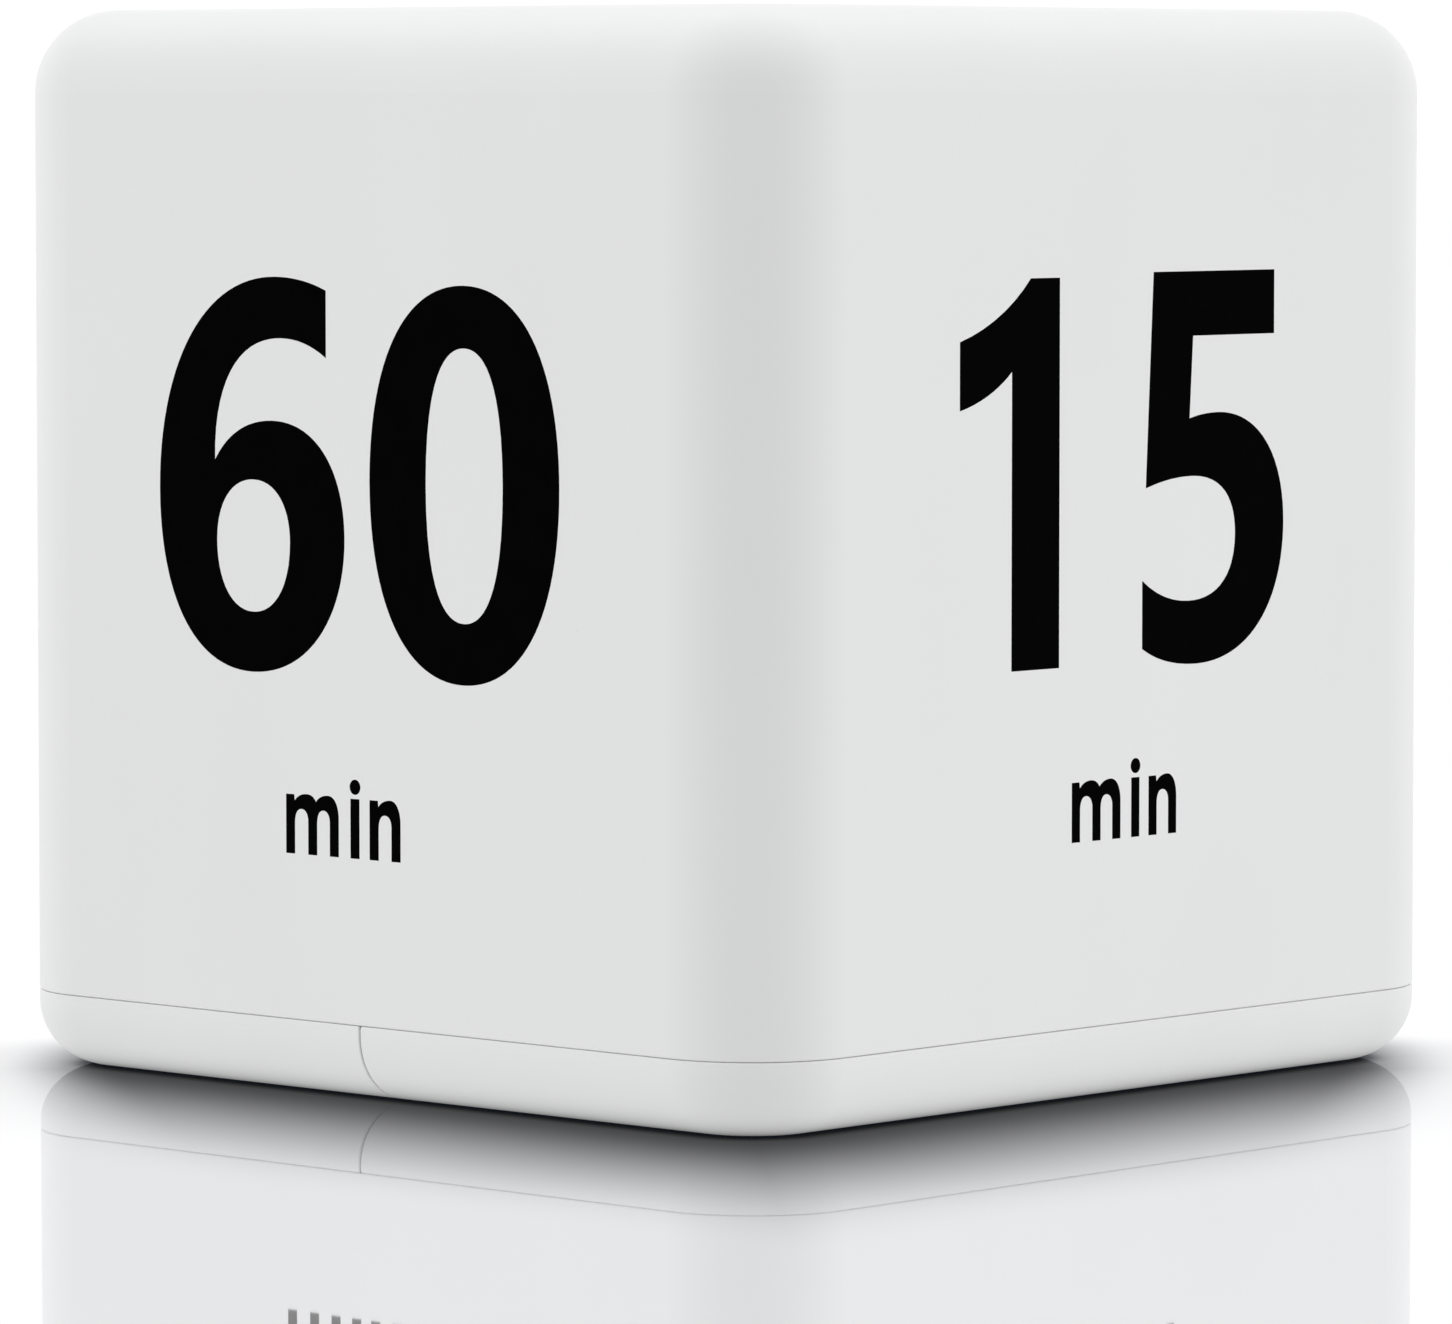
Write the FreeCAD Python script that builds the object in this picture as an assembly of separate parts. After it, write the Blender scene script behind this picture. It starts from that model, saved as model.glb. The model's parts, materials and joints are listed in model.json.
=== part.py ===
"""Cube kitchen timer: turn the wanted time uppermost and it counts down.

Each of the four upright faces carries a time in minutes. The display face is on top and the
battery door is underneath. Four ball switches under the circuit board, each pointing at a
corner, sense which face is up: every face closes its own pair, and the display face none.

Frame, in millimetres: the origin is the centre of the underside, +Z points up to the display
face, the face marked 60 looks along -Y and the face marked 15 looks along +X.
"""

import FreeCAD
import Part
import math
import os

from FreeCAD import Vector

# ---------------------------------------------------------------- driving dimensions
SIDE = 63.5  # across flats, X and Y
HEIGHT = 64.0
CORNER_R = 7.0  # upright edges
TOP_R = 5.0  # edges round the display face
BASE_R = 4.0  # edges round the underside
WALL = 2.0
FACE = 2.0  # thickness of the display face
SEAM_Z = 4.6  # parting line between the housing and the base
SEAM_GAP = 0.02
EDGE_BREAK = 0.12  # moulded rounding of the parting edges
FIT = 0.15  # running and locating clearance between mouldings
INK = 0.05  # depth of the flush marking

HALF = SIDE / 2
INNER = HALF - WALL
INNER_R = CORNER_R - WALL
FACE_IN = HEIGHT - FACE  # inner side of the display face

# circuit board
BOARD = 50.0
BOARD_T = 1.2
BOARD_TOP = 56.4
BOARD_BOTTOM = BOARD_TOP - BOARD_T
BOARD_HOLE = 21.5  # screw places, plus and minus, X and Y
BOSS_R = 2.7
BOARD_SCREW_R = 0.84

# display
DISPLAY_Y = 4.0
GLASS_X = 38.0
GLASS_Y = 22.0
GLASS_T = 1.1
GLASS_TOP = 61.5
FRAME_TOP = 61.9
FRAME_WIDER = 5.4  # how much the display frame is larger than the glass
PEG_R = 0.8
LEDGE = 2.5  # contact ledge of the front glass beyond the rear glass
CELL_GAP = 0.06  # between the two glasses
SEGMENT_T = 0.04
REFLECTOR_T = 0.2
WINDOW_X = 38.0
WINDOW_Y = 19.0
WINDOW_T = 1.0
WINDOW_R = 1.5
WINDOW_SUNK = 0.05  # how far the lens stands below the face
TAPE_T = 0.15
TAPE_W = 1.6

# power switch
SWITCH_Y = -17.0
SWITCH_TRAVEL = 2.5
GRIP_X = 6.0
GRIP_Y = 3.0
SCOOP_X = 15.0
SCOOP_Y = 7.0
SCOOP_DEPTH = 0.9
FLANGE_X = 12.6
FLANGE_Y = 5.4
FLANGE_Z = 61.05  # underside of the knob's flange
FLANGE_T = 0.8
SWITCH_BASE_TOP = 57.6
SWITCH_SHELL_TOP = 60.0

# indicator lamp
LAMP_Y = 21.5
LAMP_R = 1.5
LAMP_FLANGE_R = 2.3

# battery bay, two AAA cells lying along Y above the door
CELL_R = 5.25
CELL_LENGTH = 44.5
CELL_BODY = CELL_LENGTH - 0.9  # without the positive button
CAN_R = CELL_R - 0.2
CAN_WALL = 0.3
CELL_Z = 7.65
CELL_PITCH = 10.8
BAY_X = -15.0  # middle of the bay
BAY_HALF_X = 11.3
BAY_HALF_Y = 25.5
BAY_WALL = 1.5
BAY_ROOF = 13.2
PLATE_T = 0.35  # contact sheet
PLATE_Y = 25.0  # inner side of the contact sheets
BUMP = 0.5  # raised button of a contact sheet

# base and door
DOOR_X = 0.0  # parting line between door and base
DOOR_GAP = 0.12
FLOOR = 2.0
DOOR_T = 1.8
SHELF_Z = 2.2  # underside of the base's shelf above the door
LIP_T = 1.4
LIP_TOP = 7.6
DOOR_TRAVEL = 34.0

# base screws and their posts
POST_X = 23.5
POST_Y = 22.5
POST_R = 3.0
POST_FOOT = 8.0
POST_TOP = 26.0
POST_WEB = 1.2
BASE_SCREW_R = 1.09
BASE_SCREW_SEAT = 6.2
SCREW_WELL_R = 2.3

# hooks of the base in the housing's side wall, opposite the screws
HOOK_Y = 15.0
HOOK_WIDTH = 8.0
HOOK_LOW = 6.8
HOOK_HIGH = 7.5

# side tongues of the door and their grooves
TONGUE_IN = 28.95
TONGUE_LOW = 3.05
TONGUE_HIGH = 3.75

# buzzer
BUZZER_X = 14.0
BUZZER_R = 11.0
DISC_R = 10.0
DISC_Z = 4.0
DISC_T = 0.2

# ball switches under the board
TILT_LENGTH = 8.0
TILT_R = 2.5
TILT_WALL = 0.35
TILT_BALL_R = 1.7
TILT_RISE = 15.0  # degrees that the outer end stands above the inner end
TILT_Z = 51.2
TILT_TRAVEL = 2.3
TILT_PLACES = {  # each points at one corner: (direction of the outer end, degrees; place X, Y)
    "back_right": (45.0, 12.0, 12.0),
    "back_left": (135.0, -12.0, 12.0),
    "front_left": (225.0, -12.0, -12.0),
    "front_right": (315.0, 12.0, -12.0),
}

# marking: height of the numerals' baseline and of the unit's, and the unit's shift sideways
MARKING = {
    "60": (25.3, 14.4, -1.3),
    "15": (25.75, 15.5, -0.2),
    "5": (25.5, 15.0, 0.0),
    "30": (25.5, 15.0, 0.0),
}


# ---------------------------------------------------------------- small helpers
def save(node, *shapes):
    """Writes one node from one or more solids, and stops if any solid is faulty."""
    solids = [s for shape in shapes for s in shape.Solids]
    for solid in solids:
        if not solid.isValid() or solid.Volume <= 0:
            raise ValueError(f"{node} has a faulty solid")
    whole = solids[0] if len(solids) == 1 else Part.makeCompound(solids)
    whole.exportStep(f"parts/{node}.step")
    total = sum(s.Volume for s in solids)
    print(f"{node}: {len(solids)} solid(s), {total:.1f} mm3")


def box(x0, x1, y0, y1, z0, z1):
    """Box between two opposite corners; y0 and y1 come in either order."""
    low = min(y0, y1)
    return Part.makeBox(x1 - x0, abs(y1 - y0), z1 - z0, Vector(x0, low, z0))


def block(cx, cy, lx, ly, z0, z1):
    """Box centred on a place."""
    return box(cx - lx / 2, cx + lx / 2, cy - ly / 2, cy + ly / 2, z0, z1)


def rod(x, y, z0, z1, r):
    return Part.makeCylinder(r, z1 - z0, Vector(x, y, z0))


def rod_y(x, z, y0, y1, r):
    return Part.makeCylinder(r, y1 - y0, Vector(x, y0, z), Vector(0, 1, 0))


def ring(x, y, z0, z1, r_in, r_out):
    return rod(x, y, z0, z1, r_out).cut(rod(x, y, z0 - 1, z1 + 1, r_in))


def join(first, *others):
    return first.multiFuse(list(others)).removeSplitter()


def upright_edges(shape):
    """Straight edges parallel to Z."""
    found = []
    for edge in shape.Edges:
        b = edge.BoundBox
        if b.XLength < 1e-3 and b.YLength < 1e-3 and b.ZLength > 1e-3:
            found.append(edge)
    return found


def level_edges(shape, z):
    """Edges that lie at one height."""
    found = []
    for edge in shape.Edges:
        b = edge.BoundBox
        if abs(b.ZMin - z) < 0.01 and abs(b.ZMax - z) < 0.01:
            found.append(edge)
    return found


def rounded(cx, cy, lx, ly, z0, z1, r, top=0.0, bottom=0.0):
    """Upright block with round corners in plan, and its top and bottom edges rounded."""
    shape = block(cx, cy, lx, ly, z0, z1)
    shape = shape.makeFillet(r, upright_edges(shape))
    if top:
        shape = shape.makeFillet(top, level_edges(shape, z1))
    if bottom:
        shape = shape.makeFillet(bottom, level_edges(shape, z0))
    return shape


def mirrored(x, y):
    """The four places plus and minus x, y."""
    return [(sx * x, sy * y) for sx in (-1, 1) for sy in (-1, 1)]


def turned(profile, centre, axis=Vector(0, 0, 1)):
    """Solid of revolution from (radius, height) points about an axis through a centre."""
    points = [Vector(r, 0, z) for r, z in profile]
    face = Part.Face(Part.makePolygon(points + points[:1]))
    solid = face.revolve(Vector(0, 0, 0), Vector(0, 0, 1), 360)
    turn = FreeCAD.Rotation(Vector(0, 0, 1), axis)
    solid.Placement = FreeCAD.Placement(centre, turn)
    return solid


def bent_wire(points, diameter, name=""):
    """Round wire along straight runs joined by tangent arcs as large as the runs allow."""
    radius = diameter / 2
    edges = []
    start = points[0]
    for before, corner, after in zip(points, points[1:], points[2:]):
        a = before - corner
        b = after - corner
        turn = math.pi - a.getAngle(b)
        shorter = min(a.Length, b.Length)
        bend = 0.45 * shorter / math.tan(turn / 2)
        trim = bend * math.tan(turn / 2)
        a.normalize()
        b.normalize()
        enter = corner + a * trim
        leave = corner + b * trim
        inward = a + b
        inward.normalize()
        middle = corner + inward * (bend / math.cos(turn / 2) - bend)
        if (enter - start).Length > 1e-6:
            edges.append(Part.LineSegment(start, enter).toShape())
        edges.append(Part.Arc(enter, middle, leave).toShape())
        start = leave
        if name:
            print(f"  {name}: bend {bend:.1f} mm")
    edges.append(Part.LineSegment(start, points[-1]).toShape())
    path = Part.Wire(edges)
    heading = points[1] - points[0]
    profile = Part.Wire(Part.makeCircle(radius, points[0], heading))
    solid = path.makePipeShell([profile], True, False)
    expected = math.pi * radius**2 * path.Length
    if abs(solid.Volume / expected - 1) > 0.02:
        raise ValueError(f"wire {name} has the wrong volume")
    return solid


# ---------------------------------------------------------------- marking
# A glyph is a list of closed outlines. An outline is a start point and steps: a point is a
# straight line to it, and (handle, handle, point) is a cubic curve to it. Units: mm at full
# size, with the origin on the baseline.
SQUARE = 0.62  # share of a quarter curve that its handles reach, 0.55 for a true ellipse


def quarters(left, right, bottom, top, share=SQUARE, waist=None):
    """Closed rounded outline through four extremes, its widest place at height waist."""
    cx = (left + right) / 2
    cy = (bottom + top) / 2 if waist is None else waist
    x0 = (cx - left) * share
    x1 = (right - cx) * share
    y0 = (cy - bottom) * share
    y1 = (top - cy) * share
    return [
        (left, cy),
        ((left, cy + y1), (cx - x0, top), (cx, top)),
        ((cx + x1, top), (right, cy + y1), (right, cy)),
        ((right, cy - y0), (cx + x1, bottom), (cx, bottom)),
        ((cx - x0, bottom), (left, cy - y0), (left, cy)),
    ]


CAP = 22.7  # height of the numerals
OVER = 0.35  # how far round strokes pass the baseline and the cap height

ZERO = [
    quarters(0.0, 15.3, -OVER, CAP - 0.05),
    quarters(4.6, 10.8, 3.2, CAP - 3.65, share=0.65),
]

SIX = [
    [
        (14.1, 22.2),
        ((12.8, 22.7), (11.4, 22.95), (9.9, 22.95)),
        ((3.7, 22.95), (0.0, 17.5), (0.0, 10.3)),
        ((0.0, 3.8), (2.9, -OVER), (7.9, -OVER)),
        ((12.6, -OVER), (15.6, 3.2), (15.6, 7.7)),
        ((15.6, 11.7), (13.3, 14.5), (9.6, 14.5)),
        ((7.4, 14.5), (5.75, 13.6), (4.75, 12.1)),
        ((4.65, 16.2), (6.4, 19.35), (10.35, 19.35)),
        ((11.7, 19.35), (12.9, 19.0), (14.1, 18.25)),
        (14.1, 22.2),
    ],
    quarters(4.9, 11.05, 3.2, 11.0, share=0.6, waist=7.4),
]

ONE = [
    [
        (0.0, 19.05),
        (0.0, 15.1),
        ((1.8, 15.5), (3.4, 16.25), (4.55, 17.25)),
        (4.55, 0.0),
        (8.78, 0.0),
        (8.78, 22.6),
        (6.2, 22.6),
        ((4.6, 20.9), (2.4, 19.7), (0.0, 19.05)),
    ]
]

FIVE = [
    [
        (0.95, 22.8),
        (0.3, 10.15),
        ((1.9, 10.6), (3.3, 10.75), (4.5, 10.75)),
        ((7.0, 10.75), (8.55, 9.6), (8.55, 7.25)),
        ((8.55, 4.9), (7.1, 3.4), (4.3, 3.4)),
        ((2.6, 3.4), (1.2, 3.9), (0.0, 4.75)),
        (0.0, 0.75),
        ((1.3, 0.0), (3.0, -OVER), (4.9, -OVER)),
        ((10.0, -OVER), (13.1, 3.0), (13.1, 7.8)),
        ((13.1, 11.9), (10.6, 14.45), (6.9, 14.45)),
        ((6.0, 14.45), (5.1, 14.35), (4.3, 14.15)),
        (4.6, 19.0),
        (12.15, 19.0),
        (12.15, 22.8),
        (0.95, 22.8),
    ]
]

THREE = [
    [
        (0.9, 21.6),
        ((2.3, 22.55), (4.1, 22.95), (6.0, 22.95)),
        ((10.3, 22.95), (12.7, 20.7), (12.7, 17.5)),
        ((12.7, 14.8), (11.1, 12.9), (8.9, 12.1)),
        ((11.7, 11.6), (13.6, 9.5), (13.6, 6.6)),
        ((13.6, 2.5), (10.5, -OVER), (5.4, -OVER)),
        ((3.3, -OVER), (1.4, 0.0), (0.0, 0.85)),
        (0.0, 4.75),
        ((1.4, 3.8), (3.1, 3.3), (4.9, 3.3)),
        ((7.4, 3.3), (8.8, 4.6), (8.8, 6.7)),
        ((8.8, 8.9), (7.1, 10.0), (4.6, 10.0)),
        (2.7, 10.0),
        (2.7, 13.5),
        (4.3, 13.5),
        ((6.7, 13.5), (8.1, 14.6), (8.1, 16.5)),
        ((8.1, 18.3), (6.9, 19.35), (4.9, 19.35)),
        ((3.5, 19.35), (2.1, 18.85), (0.9, 18.0)),
        (0.9, 21.6),
    ]
]

UNIT_X = 3.5  # height of the small letters
STEM = 0.75
CROWN = UNIT_X + 0.06  # top of their arches
ARCH_T = 0.9  # thickness of an arch at its top
SPRING_Z = UNIT_X - 0.35  # where an arch leaves its stem


def arch_over(joined, x1):
    """Upper side of an arch that springs at joined, down to the foot of its leg ending at x1."""
    mid = (joined + x1) / 2
    return [
        ((joined + 0.25, CROWN - 0.1), (mid - 0.3, CROWN), (mid + 0.05, CROWN)),
        ((x1 - 0.35, CROWN), (x1, CROWN - 0.55), (x1, CROWN - 1.35)),
        (x1, 0.0),
        (x1 - STEM, 0.0),
    ]


def arch_under(joined, x1):
    """Lower side of the same arch, from the leg back to the stem and down to its foot."""
    mid = (joined + x1 - STEM) / 2
    crown = CROWN - ARCH_T
    return [
        (x1 - STEM, crown - 0.7),
        ((x1 - STEM, crown - 0.25), (mid + 0.3, crown), (mid, crown)),
        ((mid - 0.35, crown), (joined, crown - 0.3), (joined, crown - 0.85)),
        (joined, 0.0),
    ]


def letter_n(x):
    """Small n whose left side is at x."""
    stem = x + STEM
    leg = x + 2.55
    outline = [(x, 0.0), (x, UNIT_X), (stem - 0.06, UNIT_X), (stem - 0.02, SPRING_Z)]
    return outline + arch_over(stem, leg) + arch_under(stem, leg) + [(x, 0.0)]


def letter_m(x):
    """Small m whose left side is at x."""
    stem = x + STEM
    middle = x + 2.6
    leg = x + 4.4
    outline = [(x, 0.0), (x, UNIT_X), (stem - 0.06, UNIT_X), (stem - 0.02, SPRING_Z)]
    outline += arch_over(stem, middle)[:1]
    outline += [((x + 2.1, CROWN), (x + 2.35, CROWN - 0.15), (x + 2.5, SPRING_Z))]
    outline += arch_over(x + 2.5, leg) + arch_under(middle, leg)
    outline += [(middle - STEM, 0.0)]
    return outline + arch_under(stem, middle) + [(x, 0.0)]


def unit_glyphs():
    """The unit min, centred on x = 0."""
    left = 0.62
    right = left + STEM
    stem = [(left, 0.0), (left, UNIT_X), (right, UNIT_X), (right, 0.0), (left, 0.0)]
    dot = quarters(left - 0.06, right + 0.08, UNIT_X + 0.24, UNIT_X + 1.13, share=0.56)
    return [[letter_m(-4.75)], [stem], [dot], [letter_n(2.2)]]


def glyph_wire(outline, place):
    """Closed wire of one outline, set on a face by place(x, y)."""
    edges = []
    here = place(*outline[0])
    for step in outline[1:]:
        if isinstance(step[0], tuple):
            poles = [here] + [place(*p) for p in step]
            curve = Part.BezierCurve()
            curve.setPoles(poles)
            edges.append(curve.toShape())
            here = poles[-1]
        else:
            there = place(*step)
            edges.append(Part.LineSegment(here, there).toShape())
            here = there
    return Part.Wire(edges)


def marking(label):
    """Solids of one upright face's numerals and unit, flush with the face."""
    right, outward = FACE_DIRECTIONS[label]
    baseline, unit_line, unit_shift = MARKING[label]
    inward = outward * -INK

    def placer(dx, z):
        def place(x, y):
            return outward * HALF + right * (x + dx) + Vector(0, 0, z + y)

        return place

    jobs = [(glyph, placer(dx, baseline)) for glyph, dx in NUMERALS[label]]
    jobs += [(glyph, placer(unit_shift, unit_line)) for glyph in unit_glyphs()]
    solids = []
    for glyph, place in jobs:
        outer = Part.Face(glyph_wire(glyph[0], place))
        for hole in glyph[1:]:
            outer = outer.cut(Part.Face(glyph_wire(hole, place)))
        solids.append(outer.extrude(inward))
    return solids


FACE_DIRECTIONS = {  # reader's right, and the way that the face looks
    "60": (Vector(1, 0, 0), Vector(0, -1, 0)),
    "15": (Vector(0, 1, 0), Vector(1, 0, 0)),
    "5": (Vector(-1, 0, 0), Vector(0, 1, 0)),
    "30": (Vector(0, -1, 0), Vector(-1, 0, 0)),
}
NUMERALS = {  # glyphs and the place of each one's left side
    "60": [(SIX, -16.7), (ZERO, 0.97)],
    "15": [(ONE, -14.9), (FIVE, 1.36)],
    "5": [(FIVE, -6.55)],
    "30": [(THREE, -15.3), (ZERO, 0.5)],
}


def switch_marks():
    """Ring for off and bar for on, beside the power switch, flush with the display face."""
    reach = 11.0
    z0 = HEIGHT - INK
    off = ring(-reach, SWITCH_Y, z0, HEIGHT, 0.9, 1.35)
    on = block(reach, SWITCH_Y, 0.5, 2.7, z0, HEIGHT)
    return [off, on]


# ---------------------------------------------------------------- housing and window
def knob_scoop():
    """Shallow finger recess round the power switch, with its slot through the face."""
    z = HEIGHT - SCOOP_DEPTH
    scoop = rounded(0, SWITCH_Y, SCOOP_X, SCOOP_Y, z, HEIGHT + 1, SCOOP_Y / 2 - 0.05)
    slot_x = GRIP_X + SWITCH_TRAVEL + 0.5
    slot = rounded(0, SWITCH_Y, slot_x, GRIP_Y + 0.4, FACE_IN - 1, HEIGHT, 0.6)
    return scoop.fuse(slot)


def housing(ink):
    """Five-sided moulding: the display face and the four marked faces."""
    shell = rounded(0, 0, SIDE, SIDE, SEAM_Z + SEAM_GAP / 2, HEIGHT, CORNER_R, TOP_R, EDGE_BREAK)
    shell = shell.cut(rounded(0, 0, 2 * INNER, 2 * INNER, -1, FACE_IN, INNER_R, TOP_R - FACE))
    bosses = [rod(x, y, BOARD_TOP, FACE_IN, BOSS_R) for x, y in mirrored(BOARD_HOLE, BOARD_HOLE)]
    guide_y = FLANGE_Y / 2 + 0.75
    guides = [block(0, SWITCH_Y + s * guide_y, 17.0, 1.0, 60.6, FACE_IN) for s in (-1, 1)]
    posts = []
    wall = INNER + 0.5
    web = POST_WEB / 2
    for s in (-1, 1):
        y = s * POST_Y
        posts.append(rod(POST_X, y, POST_FOOT, POST_TOP, POST_R))
        posts.append(box(POST_X, wall, y - web, y + web, POST_FOOT, POST_TOP))
        posts.append(box(POST_X - web, POST_X + web, y, s * wall, POST_FOOT, POST_TOP))
    shell = join(shell, *bosses, *guides, *posts)

    cuts = [rod(x, y, BOARD_TOP - 1, 61.4, BOARD_SCREW_R) for x, y in mirrored(BOARD_HOLE, BOARD_HOLE)]
    for s in (-1, 1):
        cuts.append(rod(POST_X, s * POST_Y, POST_FOOT - 1, POST_FOOT + 10, BASE_SCREW_R))
        y = s * HOOK_Y
        reach = HOOK_WIDTH / 2 + 0.3
        low = HOOK_LOW - 0.2
        high = HOOK_HIGH + 0.5
        cuts.append(box(-INNER - 1.0, -INNER + 1, y - reach, y + reach, low, high))
    cuts.append(knob_scoop())
    rebate_z = HEIGHT - WINDOW_T - TAPE_T - WINDOW_SUNK
    rebate = rounded(0, DISPLAY_Y, WINDOW_X + 0.2, WINDOW_Y + 0.2, rebate_z, HEIGHT + 1, WINDOW_R + 0.1)
    open_x = WINDOW_X - 2 * TAPE_W - 0.4
    open_y = WINDOW_Y - 2 * TAPE_W - 0.4
    cuts.append(rebate)
    cuts.append(rounded(0, DISPLAY_Y, open_x, open_y, FACE_IN - 1, HEIGHT, 1.0))
    cuts.append(rod(0, LAMP_Y, FACE_IN - 1, HEIGHT + 1, LAMP_R + 0.05))
    return shell.cut(Part.makeCompound(cuts + ink)).removeSplitter()


def display_window():
    """Clear lens over the display, a hair below the face."""
    z1 = HEIGHT - WINDOW_SUNK
    return rounded(0, DISPLAY_Y, WINDOW_X, WINDOW_Y, z1 - WINDOW_T, z1, WINDOW_R, top=0.2)


def window_tape():
    """Thin adhesive frame that holds the lens in its rebate."""
    z0 = HEIGHT - WINDOW_SUNK - WINDOW_T - TAPE_T
    outer = rounded(0, DISPLAY_Y, WINDOW_X - 0.2, WINDOW_Y - 0.2, z0, z0 + TAPE_T, WINDOW_R)
    inner_x = WINDOW_X - 2 * TAPE_W
    inner_y = WINDOW_Y - 2 * TAPE_W
    return outer.cut(block(0, DISPLAY_Y, inner_x, inner_y, z0 - 1, z0 + 1))


# ---------------------------------------------------------------- display
def glass_levels():
    """Heights of the display's layers, from the front glass down."""
    front_bottom = GLASS_TOP - GLASS_T
    rear_top = front_bottom - CELL_GAP
    rear_bottom = rear_top - GLASS_T
    return front_bottom, rear_top, rear_bottom


def front_glass():
    front_bottom, _, _ = glass_levels()
    return block(0, DISPLAY_Y, GLASS_X, GLASS_Y, front_bottom, GLASS_TOP)


def rear_glass():
    _, rear_top, rear_bottom = glass_levels()
    return block(0, DISPLAY_Y, GLASS_X, GLASS_Y - 2 * LEDGE, rear_bottom, rear_top)


def reflector():
    _, _, rear_bottom = glass_levels()
    width = GLASS_Y - 2 * LEDGE - 0.6
    return block(0, DISPLAY_Y, GLASS_X - 1, width, rear_bottom - REFLECTOR_T, rear_bottom)


DIGIT_W = 5.2
DIGIT_H = 9.6
BAR = 1.05
DIGIT_PLACES = (-12.9, -6.3, 1.1, 7.7)  # left side of each digit
SEGMENTS = {"0": "abcdef", "6": "acdefg"}
SHOWN = "6000"


def segment_outlines(x, y):
    """The seven bars of one digit, as mitred outlines, keyed a to g."""
    gap = 0.12
    b = BAR
    w = DIGIT_W
    h = DIGIT_H
    half = h / 2
    mid0 = half - b / 2
    mid1 = half + b / 2
    shapes = {
        "a": [(gap, h), (w - gap, h), (w - b - gap, h - b), (b + gap, h - b)],
        "b": [(w, h - gap), (w, half + gap), (w - b, mid1 + gap), (w - b, h - b - gap)],
        "c": [(w, half - gap), (w, gap), (w - b, b + gap), (w - b, mid0 - gap)],
        "d": [(gap, 0), (b + gap, b), (w - b - gap, b), (w - gap, 0)],
        "e": [(0, gap), (0, half - gap), (b, mid0 - gap), (b, b + gap)],
        "f": [(0, half + gap), (0, h - gap), (b, h - b - gap), (b, mid1 + gap)],
        "g": [(gap, half), (b, mid1), (w - b, mid1), (w - gap, half), (w - b, mid0), (b, mid0)],
    }
    return {k: [(x + px, y + py) for px, py in s] for k, s in shapes.items()}


def display_segments():
    """The dark bars that show 60:00 between the two glasses."""
    _, rear_top, _ = glass_levels()
    solids = []
    bottom = DISPLAY_Y - DIGIT_H / 2
    for x, digit in zip(DIGIT_PLACES, SHOWN):
        for key, outline in segment_outlines(x, bottom).items():
            if key in SEGMENTS[digit]:
                points = [Vector(px, py, rear_top) for px, py in outline]
                face = Part.Face(Part.makePolygon(points + points[:1]))
                solids.append(face.extrude(Vector(0, 0, SEGMENT_T)))
    for s in (-1, 1):
        y = DISPLAY_Y + s * 2.0
        solids.append(block(0, y, 1.0, 1.0, rear_top, rear_top + SEGMENT_T))
    return solids


def zebra_strip(side):
    """Rubber contact strip between the board and one ledge of the front glass."""
    front_bottom, _, _ = glass_levels()
    y = DISPLAY_Y + side * (GLASS_Y / 2 - LEDGE / 2)
    return block(0, y, GLASS_X - 2, 2.0, BOARD_TOP, front_bottom)


def frame_pegs():
    """Places of the display frame's four pegs."""
    x = GLASS_X / 2 + 1.4
    y = GLASS_Y / 2 + 1.4
    return [(px, DISPLAY_Y + py) for px, py in mirrored(x, y)]


def display_frame():
    """Moulded frame that clamps the glass and strips on the board, with staked pegs."""
    outer_x = GLASS_X + FRAME_WIDER
    outer_y = GLASS_Y + FRAME_WIDER
    pocket_x = GLASS_X + 0.2
    pocket_y = GLASS_Y + 0.2
    frame = rounded(0, DISPLAY_Y, outer_x, outer_y, BOARD_TOP, FRAME_TOP, 1.2)
    frame = frame.cut(block(0, DISPLAY_Y, pocket_x, pocket_y, BOARD_TOP - 1, GLASS_TOP + 0.05))
    frame = frame.cut(block(0, DISPLAY_Y, GLASS_X - 2, GLASS_Y - 4, BOARD_TOP, 63))
    bar_y = GLASS_Y / 2 - LEDGE - 0.4
    bars = [block(0, DISPLAY_Y + s * bar_y, pocket_x + 1, 0.8, BOARD_TOP, 58.9) for s in (-1, 1)]
    pegs = []
    for x, y in frame_pegs():
        pegs.append(rod(x, y, BOARD_BOTTOM, BOARD_TOP + 0.5, PEG_R))
        pegs.append(Part.makeCone(1.3, 0.9, 0.6, Vector(x, y, BOARD_BOTTOM), Vector(0, 0, -1)))
    return join(frame, *bars, *pegs)


# ---------------------------------------------------------------- power switch
def knob():
    """Sliding knob: a ridged grip in the slot on a flange below the face."""
    x = -SWITCH_TRAVEL / 2
    z_top = HEIGHT - 0.1
    flange = rounded(x, SWITCH_Y, FLANGE_X, FLANGE_Y, FLANGE_Z, FLANGE_Z + FLANGE_T, 0.8)
    grip = rounded(x, SWITCH_Y, GRIP_X, GRIP_Y, 61.5, z_top, 0.5, top=0.25)
    body = join(flange, grip)
    grooves = []
    for i in (-1, 0, 1):
        centre = Vector(x + i * 1.5, SWITCH_Y - 5, z_top + 0.05)
        grooves.append(Part.makeCylinder(0.35, 10, centre, Vector(0, 1, 0)))
    socket = block(x, SWITCH_Y, 1.7, 1.7, 60, 62.75)
    return body.cut(Part.makeCompound(grooves + [socket]))


def switch_lever():
    """Slider of the electrical switch, whose post drives the knob."""
    x = -SWITCH_TRAVEL / 2
    top = SWITCH_SHELL_TOP - 0.4
    slider = block(x, SWITCH_Y, 3.2, 3.0, top - 1.2, top)
    post = block(x, SWITCH_Y, 1.6, 1.6, top - 0.1, top + 3.0)
    return join(slider, post)


def switch_terminals():
    """Three blades through the switch base and the board."""
    top = SWITCH_BASE_TOP + 0.3
    low = BOARD_BOTTOM - 1.4
    return [block(i * 2.0, SWITCH_Y, 0.8, 0.3, low, top) for i in (-1, 0, 1)]


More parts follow.
